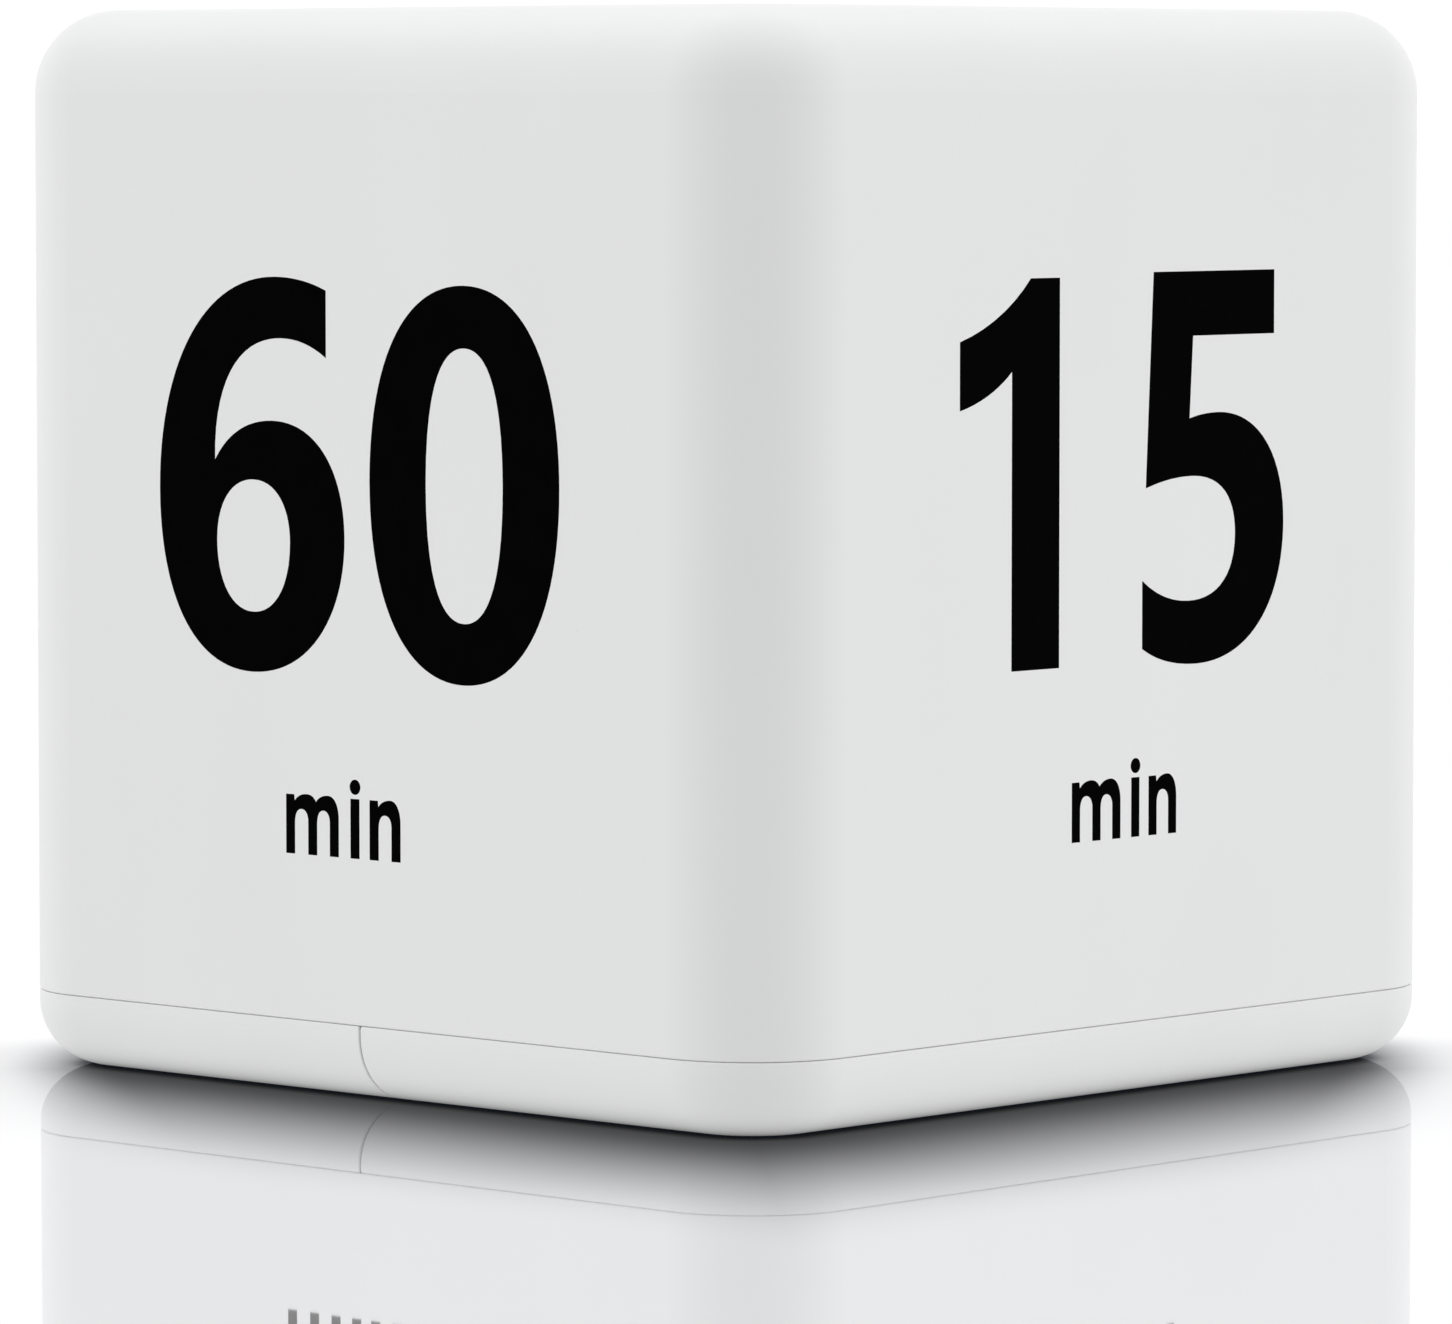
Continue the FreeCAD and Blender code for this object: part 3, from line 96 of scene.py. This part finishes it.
def along(tree, vector, direction):
    """How far a vector reaches along a direction."""
    dot = node(tree, "ShaderNodeVectorMath", operation="DOT_PRODUCT")
    link(tree, vector, dot.inputs[0])
    dot.inputs[1].default_value = direction
    return dot.outputs["Value"]


def noise(tree, grain_mm, detail=3.0, stretch=(1, 1, 1)):
    """Noise from 0 to 1 whose blobs are about grain_mm across."""
    tex = node(tree, "ShaderNodeTexNoise",
               {"Scale": 1 / (grain_mm * MM), "Detail": detail, "Roughness": 0.55})
    link(tree, place(tree, stretch), tex.inputs["Vector"])
    return tex.outputs["Fac"]


def remap(tree, value, low, high, out_low=0.0, out_high=1.0, **settings):
    """Clamped straight line from low..high, numbers or outputs, to out_low..out_high."""
    ramp = node(tree, "ShaderNodeMapRange", {"To Min": out_low, "To Max": out_high}, **settings)
    for name, given in (("Value", value), ("From Min", low), ("From Max", high)):
        feed(tree, given, ramp.inputs[name])
    return ramp.outputs["Result"]


def smooth_remap(tree, value, low, high, out_low=0.0, out_high=1.0):
    """The same with an S-shaped curve."""
    return remap(tree, value, low, high, out_low, out_high, interpolation_type="SMOOTHSTEP")


def spread(tree, value, out_low=0.0, out_high=1.0):
    """A noise value, drawn out to the whole of out_low..out_high."""
    return remap(tree, value, *NOISE_SPAN, out_low, out_high)


def mix_colour(tree, fac, a, b):
    """Colour from a to b by fac; a and b are colours or outputs."""
    mix = node(tree, "ShaderNodeMix", data_type="RGBA")
    link(tree, fac, mix.inputs["Factor"])
    for name, colour in (("A", a), ("B", b)):
        socket = next(s for s in mix.inputs if s.name == name and s.type == "RGBA")
        if isinstance(colour, tuple):
            socket.default_value = (*colour, 1.0)
        else:
            link(tree, colour, socket)
    return next(s for s in mix.outputs if s.type == "RGBA")


def mix_shader(tree, fac, a, b):
    """Shader from a to b by fac; a and b are nodes."""
    mix = node(tree, "ShaderNodeMixShader")
    for out, socket in zip((fac, a.outputs[0], b.outputs[0]), mix.inputs):
        link(tree, out, socket)
    return mix


def maths(tree, operation, a, b=None):
    """Maths node on outputs or numbers."""
    made = node(tree, "ShaderNodeMath", operation=operation)
    feed(tree, a, made.inputs[0])
    if b is not None:
        feed(tree, b, made.inputs[1])
    return made.outputs[0]


def add(tree, a, b):
    return maths(tree, "ADD", a, b)


def subtract(tree, a, b):
    return maths(tree, "SUBTRACT", a, b)


def multiply(tree, a, b):
    return maths(tree, "MULTIPLY", a, b)


def maximum(tree, a, b):
    return maths(tree, "MAXIMUM", a, b)


def blend(tree, fac, a, b):
    """Number from a to b by fac; a and b are outputs or numbers."""
    return add(tree, multiply(tree, subtract(tree, b, a), fac), a)


def paint(tree, bsdf, tone):
    link(tree, tone, bsdf.inputs["Base Color"])


def gloss(tree, bsdf, value, low, high):
    """Roughness from low to high that follows a noise value."""
    link(tree, spread(tree, value, low, high), bsdf.inputs["Roughness"])


def relief(tree, bsdf, height, depth_mm):
    """Bumps the surface by height times depth_mm."""
    bump = node(tree, "ShaderNodeBump", {"Strength": 1.0, "Distance": depth_mm * MM})
    link(tree, height, bump.inputs["Height"])
    link(tree, bump.outputs["Normal"], bsdf.inputs["Normal"])


def shade(colour, factor):
    return tuple(min(1.0, c * factor) for c in colour)


# ---------------------------------------------------------------- plain material families
def moulded(name, colour, rough, grain_mm=0.35, depth_mm=0.004, cloud=0.03):
    """Moulded plastic: a faint cloudiness, a fine spark-eroded grain and uneven gloss."""
    mat, tree, bsdf = shader(name)
    cloudy = spread(tree, noise(tree, 9.0, detail=2.0))
    pale, deep = shade(colour, 1 + cloud / 2), shade(colour, 1 - cloud)
    paint(tree, bsdf, mix_colour(tree, cloudy, deep, pale))
    gloss(tree, bsdf, noise(tree, 3.0), rough - 0.04, rough + 0.05)
    relief(tree, bsdf, noise(tree, grain_mm, detail=2.0), depth_mm)
    return mat


def case_plastic(name, colour):
    """White case: moulded plastic with a few tiny dark specks and very soft flow marks."""
    mat, tree, bsdf = shader(name)
    flow = spread(tree, noise(tree, 14.0, detail=2.0, stretch=(1.0, 1.0, 0.4)))
    tone = mix_colour(tree, flow, shade(colour, 0.988), shade(colour, 1.008))
    apart_mm, core, rim, share, strength = 5.5, 0.012, 0.03, 0.62, 0.35  # of the specks
    cells = node(tree, "ShaderNodeTexVoronoi", {"Scale": 1 / (apart_mm * MM), "Randomness": 1.0})
    link(tree, place(tree), cells.inputs["Vector"])
    speck = remap(tree, cells.outputs["Distance"], core, rim, 1.0, 0.0)
    rarity = maths(tree, "GREATER_THAN", noise(tree, 4.0, detail=0.0), share)
    specks = multiply(tree, multiply(tree, speck, rarity), strength)
    paint(tree, bsdf, mix_colour(tree, specks, tone, shade(colour, 0.45)))
    gloss(tree, bsdf, noise(tree, 2.2), 0.36, 0.46)
    grain = add(tree, noise(tree, 0.22, detail=2.0), noise(tree, 1.6, detail=1.0))
    relief(tree, bsdf, grain, 0.0035)
    return mat


def printed_ink(name, colour):
    """Pad-printed ink: a slightly uneven matt film with a fine grain."""
    mat, tree, bsdf = shader(name)
    film = noise(tree, 1.2, detail=4.0)
    paint(tree, bsdf, mix_colour(tree, remap(tree, film, 0.35, 0.75), colour, shade(colour, 1.8)))
    gloss(tree, bsdf, film, 0.55, 0.7)
    relief(tree, bsdf, noise(tree, 0.3, detail=2.0), 0.003)
    bsdf.inputs["Specular IOR Level"].default_value = 0.005
    return mat


def metal(name, colour, rough, stretch=(1, 1, 1), grain_mm=0.25, tarnish=0.12):
    """Plated or rolled metal: drawn grain along one axis and cloudy tarnish."""
    mat, tree, bsdf = shader(name)
    bsdf.inputs["Metallic"].default_value = 1.0
    cloud = remap(tree, noise(tree, 3.5, detail=4.0), 0.35, 0.75)
    paint(tree, bsdf, mix_colour(tree, cloud, colour, shade(colour, 1 - tarnish)))
    drawn = noise(tree, grain_mm, stretch=stretch)
    gloss(tree, bsdf, drawn, rough - 0.06, rough + 0.08)
    relief(tree, bsdf, drawn, 0.004)
    return mat


def clear(name, tint, ior, haze=0.02, rough=0.03):
    """Clear sheet: what is behind it, tinted, under a Fresnel gloss with faint wipe marks."""
    mat, tree, result = bare_shader(name)
    smear = noise(tree, 6.0, detail=4.0, stretch=(1, 0.35, 1))
    tone = mix_colour(tree, remap(tree, smear, 0.4, 0.8), tint, shade(tint, 1 - haze))
    through = node(tree, "ShaderNodeBsdfTransparent")
    link(tree, tone, through.inputs["Color"])
    shine = node(tree, "ShaderNodeBsdfGlossy")
    link(tree, remap(tree, smear, 0.3, 0.8, rough, rough + 0.05), shine.inputs["Roughness"])
    edge = node(tree, "ShaderNodeFresnel", {"IOR": ior}).outputs[0]
    leaving = node(tree, "ShaderNodeNewGeometry").outputs["Backfacing"]
    entering = subtract(tree, 1.0, leaving)
    sheet = mix_shader(tree, multiply(tree, edge, entering), through, shine)
    link(tree, sheet.outputs[0], result)
    return mat


# ---------------------------------------------------------------- materials of single pieces
def circuit_green(name):
    """Green solder mask over copper: blocks of parallel tracks both ways, and some plain areas."""
    mat, tree, bsdf = shader(name)
    block_mm, pitch_mm, share_turned, share_plain = 6.5, 0.55, 0.5, 0.68
    blocks = node(tree, "ShaderNodeTexVoronoi", {"Scale": 1 / (block_mm * MM), "Randomness": 0.7},
                  distance="CHEBYCHEV")
    link(tree, place(tree, (1, 1, 0)), blocks.inputs["Vector"])
    draw = node(tree, "ShaderNodeSeparateColor")
    link(tree, blocks.outputs["Color"], draw.inputs["Color"])
    position = axes(tree)
    stripes = []
    for axis in "XY":
        pitches = maths(tree, "DIVIDE", position[axis], pitch_mm * MM)
        stripes.append(remap(tree, maths(tree, "PINGPONG", pitches, 1.0), 0.52, 0.6))
    turned = maths(tree, "GREATER_THAN", draw.outputs["Red"], share_turned)
    plain = maths(tree, "GREATER_THAN", draw.outputs["Green"], share_plain)
    track = maximum(tree, blend(tree, turned, stripes[1], stripes[0]), plain)
    tone = mix_colour(tree, track, (0.008, 0.11, 0.038), (0.02, 0.24, 0.08))
    weave = noise(tree, 0.5, detail=2.0)
    paint(tree, bsdf, mix_colour(tree, spread(tree, weave, 0.0, 0.25), tone, (0.01, 0.1, 0.04)))
    gloss(tree, bsdf, weave, 0.22, 0.34)
    relief(tree, bsdf, track, 0.03)
    return mat


def reflector_film(name):
    """Silvery green film behind the display, with a very fine sparkle."""
    mat, tree, bsdf = shader(name)
    sparkle = noise(tree, 0.12, detail=1.0)
    dull, bright = (0.50, 0.55, 0.45), (0.62, 0.67, 0.56)
    paint(tree, bsdf, mix_colour(tree, spread(tree, sparkle), dull, bright))
    gloss(tree, bsdf, sparkle, 0.45, 0.6)
    bsdf.inputs["Metallic"].default_value = 0.25
    relief(tree, bsdf, sparkle, 0.002)
    return mat


def zebra_rubber(name):
    """Contact strip: thin dark conducting layers in pink silicone rubber."""
    mat, tree, bsdf = shader(name)
    layers = node(tree, "ShaderNodeTexWave", {"Scale": 1 / (1.0 * MM), "Distortion": 0.3},
                  bands_direction="X")
    link(tree, place(tree), layers.inputs["Vector"])
    stripe = remap(tree, layers.outputs["Fac"], 0.55, 0.75)
    paint(tree, bsdf, mix_colour(tree, stripe, (0.62, 0.33, 0.36), (0.05, 0.04, 0.04)))
    bsdf.inputs["Roughness"].default_value = 0.6
    relief(tree, bsdf, stripe, 0.01)
    return mat


def cell_label(node_name, way):
    """Shrink sleeve of one cell: dark body, copper shoulder at the positive end, thin rings.

    The positive end is towards +Y where way is above 0.
    """
    mat, tree, bsdf = shader(node_name)
    sleeve, copper, silver = (0.015, 0.045, 0.16), (0.62, 0.33, 0.13), (0.75, 0.76, 0.78)
    scratched = (0.6, 0.6, 0.6)
    shoulder = 0.72  # share of the length, from the negative end
    rings = ((0.70, 0.5), (0.16, 0.35), (0.19, 0.35))  # that share, and half the width in mm
    low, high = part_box(node_name)
    start, end = (low[1], high[1]) if way > 0 else (high[1], low[1])
    share = remap(tree, axes(tree)["Y"], start, end, clamp=False)
    tone = mix_colour(tree, maths(tree, "GREATER_THAN", share, shoulder), sleeve, copper)
    for where, width_mm in rings:
        offset = maths(tree, "ABSOLUTE", subtract(tree, share, where))
        band = maths(tree, "LESS_THAN", offset, width_mm * MM / (high[1] - low[1]))
        tone = mix_colour(tree, band, tone, silver)
    scuff = noise(tree, 1.5, detail=4.0)
    worn = remap(tree, scuff, 0.62, 0.75, 0.0, 0.12)
    paint(tree, bsdf, mix_colour(tree, worn, tone, scratched))
    gloss(tree, bsdf, scuff, 0.16, 0.3)
    relief(tree, bsdf, scuff, 0.01)
    bsdf.inputs["Coat Weight"].default_value = 0.4
    return mat


def dark_resin(name):
    """Poured resin: glossy, with slow ripples and a dull skin in places."""
    mat, tree, bsdf = shader(name)
    ripple = noise(tree, 2.5)
    skin = remap(tree, ripple, 0.4, 0.7)
    paint(tree, bsdf, mix_colour(tree, skin, (0.01, 0.01, 0.011), (0.025, 0.024, 0.024)))
    gloss(tree, bsdf, ripple, 0.12, 0.3)
    relief(tree, bsdf, ripple, 0.05)
    return mat


wire_cover = partial(moulded, rough=0.38, grain_mm=0.8, depth_mm=0.02, cloud=0.1)
dull_black = partial(moulded, grain_mm=0.2, depth_mm=0.006)
chip = partial(moulded, rough=0.4, grain_mm=0.15, depth_mm=0.004)

MATERIALS = {  # material slot of the record, or one node: its look
    "case_white": partial(case_plastic, colour=WHITE),
    "ink_black": partial(printed_ink, colour=INK),
    "ink_grey": partial(printed_ink, colour=(0.09, 0.09, 0.095)),
    "clear_lens": partial(clear, tint=(0.985, 0.99, 0.985), ior=1.3),
    "adhesive_black": partial(dull_black, colour=BLACK, rough=0.6),
    "display_glass": partial(clear, tint=(0.985, 0.99, 0.975), ior=1.12, haze=0.01, rough=0.05),
    "display_rear_glass": reflector_film,
    "reflector_silver": reflector_film,
    "segment_dark": partial(moulded, colour=(0.012, 0.014, 0.022), rough=0.3, grain_mm=0.2,
                            depth_mm=0.001),
    "strip_rubber": zebra_rubber,
    "frame_white": partial(moulded, colour=(0.72, 0.72, 0.69), rough=0.5),
    "knob_white": partial(moulded, colour=shade(WHITE, 0.97), rough=0.36, grain_mm=0.3,
                          depth_mm=0.005, cloud=0.02),
    "switch_black": partial(dull_black, colour=(0.015, 0.015, 0.015), rough=0.5),
    "plated_steel": partial(metal, colour=(0.62, 0.62, 0.60), rough=0.3, stretch=(1, 1, 0.15)),
    "tinned_brass": partial(metal, colour=(0.70, 0.66, 0.52), rough=0.28),
    "lamp_body": partial(moulded, colour=(0.8, 0.76, 0.5), rough=0.25, grain_mm=0.2,
                         depth_mm=0.003),
    "lamp_clear": partial(moulded, colour=(0.56, 0.60, 0.57), rough=0.12, grain_mm=0.3,
                          depth_mm=0.002, cloud=0.08),
    "board_green": circuit_green,
    "resin_black": dark_resin,
    "chip_black": partial(chip, colour=(0.018, 0.018, 0.02), cloud=0.2),
    "chip_tan": partial(chip, colour=(0.36, 0.25, 0.14), cloud=0.12),
    "capacitor_can": partial(metal, colour=(0.72, 0.73, 0.75), rough=0.3, stretch=(1, 1, 0.2)),
    "solder": partial(metal, colour=(0.66, 0.67, 0.68), rough=0.22, grain_mm=0.6, tarnish=0.2),
    "screw_steel": partial(metal, colour=(0.42, 0.42, 0.43), rough=0.34, stretch=(1, 1, 0.3),
                           tarnish=0.25),
    "bead_amber": partial(moulded, colour=(0.3, 0.1, 0.02), rough=0.2, grain_mm=0.3,
                          cloud=0.15),
    "ball_gold": partial(metal, colour=(0.83, 0.62, 0.26), rough=0.12, grain_mm=0.5),
    "buzzer_black": partial(moulded, colour=(0.02, 0.02, 0.02), rough=0.55, grain_mm=0.2,
                            depth_mm=0.008),
    "buzzer_brass": partial(metal, colour=(0.74, 0.52, 0.22), rough=0.32, grain_mm=0.4,
                            tarnish=0.2),
    "buzzer_ceramic": partial(moulded, colour=(0.7, 0.68, 0.62), rough=0.45, grain_mm=0.1,
                              cloud=0.06),
    "cell_steel": partial(metal, colour=(0.66, 0.66, 0.65), rough=0.26, stretch=(1, 0.15, 1)),
    "cell_filling": partial(moulded, colour=(0.02, 0.02, 0.02), rough=0.8, grain_mm=0.3,
                            depth_mm=0.02, cloud=0.2),
    "contact_nickel": partial(metal, colour=(0.70, 0.68, 0.64), rough=0.26, stretch=(0.2, 1, 1)),
    "wire_red": partial(wire_cover, colour=(0.42, 0.012, 0.01)),
    "wire_black": partial(wire_cover, colour=BLACK),
    "wire_yellow": partial(wire_cover, colour=(0.62, 0.42, 0.02)),
}


def dress():
    """Gives every CAD node the look of its material slot; each cell's sleeve has its own."""
    looks = {}
    for part in frame["record"]["subparts"]:
        name, slot = part["node"], part["material_slot"]
        if slot == "cell_sleeve":
            look = cell_label(name, way=1 if name.endswith("left") else -1)
        else:
            key = name if name in MATERIALS else slot
            if key not in looks:
                looks[key] = MATERIALS[key](key)
            look = looks[key]
        thing = frame["nodes"][name]
        thing.data.materials.clear()
        thing.data.materials.append(look)


# ---------------------------------------------------------------- studio
AZIMUTH = math.radians(42.71)  # of the camera round the cube, from the face marked 60
TO_CAMERA = (math.sin(AZIMUTH), -math.cos(AZIMUTH), 0.0)  # level
TO_RIGHT = (math.cos(AZIMUTH), math.sin(AZIMUTH), 0.0)  # level, as the camera sees it

PAPER = 1.02  # brightness of the white surroundings, as seen
TENT = 0.54  # light of the tent on the timer
LENS_HOLE = 0.83  # how much darker the tent is round the camera
BACK_HOLE = 0.54  # how much darker it is behind the timer
SIDE_LAMPS = 1.3  # how much brighter it is at both sides
LAMP_FOCUS = 4.0  # power of how far a direction is to the side
LAMP_BIAS = 0.03  # how much more light comes from the right
HALF_HIGH = 0.3  # how much brighter it is half-way up
OVERHEAD = 0.76  # how much brighter it is straight above
BOUNCE = 0.88  # light that the pale floor sends back up
EXPOSURE = 1.01
MIRRORED_LOW = (0.3, PAPER)  # sine of the height of what gloss mirrors, and its brightness
MIRRORED_DIP = (0.5, 0.7)
MIRRORED_HIGH = (0.92, 2.0)


def tent_light(tree, direction):
    """Light on the timer: most from both sides and above, less from the camera and behind."""
    front = along(tree, direction, TO_CAMERA)
    side = along(tree, direction, TO_RIGHT)
    height = along(tree, direction, (0.0, 0.0, 1.0))
    up = maximum(tree, height, 0.0)
    lamps = multiply(tree, maths(tree, "POWER", side, LAMP_FOCUS), SIDE_LAMPS)
    lamps = multiply(tree, lamps, add(tree, multiply(tree, side, LAMP_BIAS), 1.0))
    light = add(tree, lamps, multiply(tree, up, OVERHEAD))
    belt = maths(tree, "SINE", multiply(tree, up, math.pi))
    light = add(tree, light, multiply(tree, belt, HALF_HIGH))
    for depth in (LENS_HOLE, -BACK_HOLE):
        light = subtract(tree, light, maximum(tree, multiply(tree, front, depth), 0.0))
    beneath = multiply(tree, maths(tree, "LESS_THAN", height, 0.0), BOUNCE)
    light = maximum(tree, add(tree, light, TENT), beneath)
    return multiply(tree, light, EXPOSURE), up


def world_light():
    """White tent, with its own brightness for light on the timer, for gloss and for the camera."""
    world = bpy.data.worlds.new("studio")
    bpy.context.scene.world = world
    world.use_nodes = True
    tree = world.node_tree
    background = next(n for n in tree.nodes if n.type == "BACKGROUND")
    background.inputs["Color"].default_value = (1.0, 1.0, 1.0, 1.0)
    direction = node(tree, "ShaderNodeTexCoord").outputs["Generated"]
    light, up = tent_light(tree, direction)

    mirrored = node(tree, "ShaderNodeValToRGB")
    stops = mirrored.color_ramp.elements
    for stop, (height, brightness) in zip(stops, (MIRRORED_LOW, MIRRORED_HIGH)):
        stop.position = height
        stop.color = (brightness, brightness, brightness, 1)
    height, brightness = MIRRORED_DIP
    stops.new(height).color = (brightness, brightness, brightness, 1)
    link(tree, up, mirrored.inputs[0])

    path = node(tree, "ShaderNodeLightPath").outputs
    seen = blend(tree, path["Is Camera Ray"], mirrored.outputs[0], PAPER)
    strength = blend(tree, path["Is Diffuse Ray"], seen, light)
    link(tree, strength, background.inputs["Strength"])


# The floor's looks, its painted shadows among them, depend on the place, in millimetres: OUT is
# outwards from the case's outline (below 0 under the case), AHEAD is from its middle towards the
# camera, and aside is from its middle to either side. A pair of places goes with a pair of values,
# which start and end there.
FLOOR_HALF = 3.0  # metres
FLOOR_Z = -0.05 * MM
MIRROR_LEAN = math.radians(0.6)  # of the floor's mirror towards the camera
MIRROR_ROUGH = 0.02
MIRROR_TINT = ((0.0, 0.003, 0.012), (0.99, 0.993, 1.005))  # in full painted shadow, and far away
FACING, MIRROR_SHARE = (0.1, 0.89), (0.04, 0.8)  # the mirror's share rises at grazing angles
REACH_AHEAD, REACH = (-15.0, 5.0), (9.0, 30.0)  # where shadows end: near behind, far in front
SHADOW_OUT, SHADOW_DEPTH = -6.0, 0.99  # where the mirror's painted shadow starts, and its darkness there
SIDES_AHEAD = 5.0  # from here on, that shadow's two sides come closer together
SIDES_FADE = ((37.0, 0.2), (45.0, 0.15))  # aside, from where to where, and how much closer per mm
CONTACT_REACH, CONTACT = 15 * MM, (0.02, 0.6)  # openness of the floor where its painted contact shadow is dark, and where it is light
PAPER_SHADOW_OUT, PAPER_SHADOW = -4.0, (0.24, 1.0)  # the paper's painted shadow
FOOT_SHADOW_OUT, FOOT_SHADOW = (-3.3, -1.3), (0.1, 1.0)  # painted shadow: dark line where the foot meets the floor
BOUNCE_OUT = (-4.8, 0.5)  # where the floor begins to send light back up: painted shade, its glow is dimmer nearer the case
UNDER_OUT = (-4.2, -8.0)  # where it fades away under the case
TOUCHING = 0.1 * MM  # shorter rays go through it


def past_sides(tree, inset=0.0):
    """Metres past the case's two pairs of sides, drawn inwards by inset."""
    low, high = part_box("housing")
    position = axes(tree)
    edge = (high[0] - low[0]) / 2 - inset
    return [subtract(tree, maths(tree, "ABSOLUTE", position[axis]), edge) for axis in "XY"]


def square_distance(tree):
    """Outward distance with square corners."""
    return multiply(tree, maximum(tree, *past_sides(tree)), 1 / MM)


def outline_distance(tree, corner):
    """Outward distance with corners of that radius, in metres."""
    past = past_sides(tree, corner)
    outside = [maths(tree, "POWER", maximum(tree, p, 0.0), 2.0) for p in past]
    far = maths(tree, "SQRT", add(tree, *outside))
    inside = maths(tree, "MINIMUM", maximum(tree, *past), 0.0)
    return multiply(tree, subtract(tree, add(tree, far, inside), corner), 1 / MM)


def along_floor(tree, direction):
    """Millimetres from the middle of the timer along one level direction."""
    return along(tree, place(tree), [part / MM for part in direction])


def floor_shade(tree, ahead, reach):
    """Share of light that the floor's mirror keeps, a painted shadow: least near the case, and cut
    off beside it.
    """
    depth = smooth_remap(tree, square_distance(tree), SHADOW_OUT, reach, SHADOW_DEPTH, 0.0)
    aside = maths(tree, "ABSOLUTE", along_floor(tree, TO_RIGHT))
    nearer = maximum(tree, subtract(tree, ahead, SIDES_AHEAD), 0.0)
    fade = [subtract(tree, at, multiply(tree, nearer, closer)) for at, closer in SIDES_FADE]
    shadow = multiply(tree, depth, smooth_remap(tree, aside, *fade, 1.0, 0.0))
    # painted contact shadow, from how open the floor is round each point
    near = node(tree, "ShaderNodeAmbientOcclusion", {"Distance": CONTACT_REACH}, samples=8)
    contact = smooth_remap(tree, near.outputs["AO"], *CONTACT)
    return maths(tree, "MINIMUM", subtract(tree, 1.0, shadow), contact)


def leaning_mirror(tree, kept):
    """Glossy shader that leans towards the camera and keeps that share of the light, as a painted
    shadow.
    """
    mirror = node(tree, "ShaderNodeBsdfGlossy", {"Roughness": MIRROR_ROUGH})
    link(tree, mix_colour(tree, kept, *MIRROR_TINT), mirror.inputs["Color"])
    lean = node(tree, "ShaderNodeVectorMath", operation="NORMALIZE")
    lean.inputs[0].default_value = (MIRROR_LEAN * TO_CAMERA[0], MIRROR_LEAN * TO_CAMERA[1], 1.0)
    link(tree, lean.outputs["Vector"], mirror.inputs["Normal"])
    return mirror


def glow(tree, strength):
    """White emission of that strength."""
    made = node(tree, "ShaderNodeEmission", {"Color": (1.0, 1.0, 1.0, 1.0)})
    link(tree, strength, made.inputs["Strength"])
    return made


def floor():
    """Pale glossy surface that mirrors the timer at a low angle, with a painted shadow where it
    stands.

    For other rays than the camera's it glows instead, and lets those from under the case through.
    """
    mesh = bpy.data.meshes.new("floor")
    sides = ((-1, -1), (1, -1), (1, 1), (-1, 1))
    corners = [(x * FLOOR_HALF, y * FLOOR_HALF, FLOOR_Z) for x, y in sides]
    mesh.from_pydata(corners, [], [(0, 1, 2, 3)])
    surface = bpy.data.objects.new("floor", mesh)
    bpy.context.scene.collection.objects.link(surface)
    mat, tree, result = bare_shader("floor")

    outward = outline_distance(tree, corner=7.0 * MM)
    ahead = along_floor(tree, TO_CAMERA)
    reach = smooth_remap(tree, ahead, *REACH_AHEAD, *REACH)
    # painted shadow on the paper, softly round the case
    paper_shadow = smooth_remap(tree, outward, PAPER_SHADOW_OUT, reach, *PAPER_SHADOW)
    # painted contact shadow: a dark line on the paper at the foot
    foot_shadow = smooth_remap(tree, outward, *FOOT_SHADOW_OUT, *FOOT_SHADOW)
    paper = glow(tree, multiply(tree, paper_shadow, foot_shadow))
    # the mirror's colour carries a painted shadow round the case
    mirror = leaning_mirror(tree, floor_shade(tree, ahead, reach))
    facing = node(tree, "ShaderNodeLayerWeight", {"Blend": 0.5}).outputs["Facing"]
    lit = mix_shader(tree, remap(tree, facing, *FACING, *MIRROR_SHARE), paper, mirror)

    # painted shade: the floor's glow for other rays than the camera's is dimmed near the case
    bounce = glow(tree, smooth_remap(tree, outward, *BOUNCE_OUT, 0.0, BOUNCE))
    path = node(tree, "ShaderNodeLightPath").outputs
    seen = path["Is Camera Ray"]
    top = mix_shader(tree, seen, bounce, lit)

    inward = smooth_remap(tree, outward, *UNDER_OUT)
    touching = maths(tree, "LESS_THAN", path["Ray Length"], TOUCHING)
    beneath = subtract(tree, maximum(tree, inward, touching), seen)
    below = node(tree, "ShaderNodeNewGeometry").outputs["Backfacing"]
    nothing = node(tree, "ShaderNodeBsdfTransparent")
    final = mix_shader(tree, maximum(tree, beneath, below), top, nothing)
    link(tree, final.outputs[0], result)
    mesh.materials.append(mat)


def camera():
    """Long lens, about half a metre away, a little below the top of the cube."""
    away = 506.87 * MM
    height = 58.38 * MM
    tilt = math.radians(3.84)
    offside = 0.118 * MM
    data = bpy.data.cameras.new("camera")
    data.sensor_fit = "HORIZONTAL"
    data.sensor_width = 36.0
    data.lens = 206.3
    data.clip_start = 0.01
    data.clip_end = 20.0
    eye = bpy.data.objects.new("camera", data)
    bpy.context.scene.collection.objects.link(eye)
    eye.location = (TO_CAMERA[0] * away, TO_CAMERA[1] * away, height)
    target = Vector((0, 0, height - away * math.tan(tilt))) - Vector(TO_RIGHT) * offside
    eye.rotation_euler = (target - eye.location).to_track_quat("-Z", "Y").to_euler()
    bpy.context.scene.camera = eye


def colour_handling():
    """Plain display colours, with no film curve."""
    view = bpy.context.scene.view_settings
    view.view_transform = "Standard"
    view.look = "None"
    view.exposure = 0.0
    view.gamma = 1.0


dress()
world_light()
floor()
camera()
colour_handling()
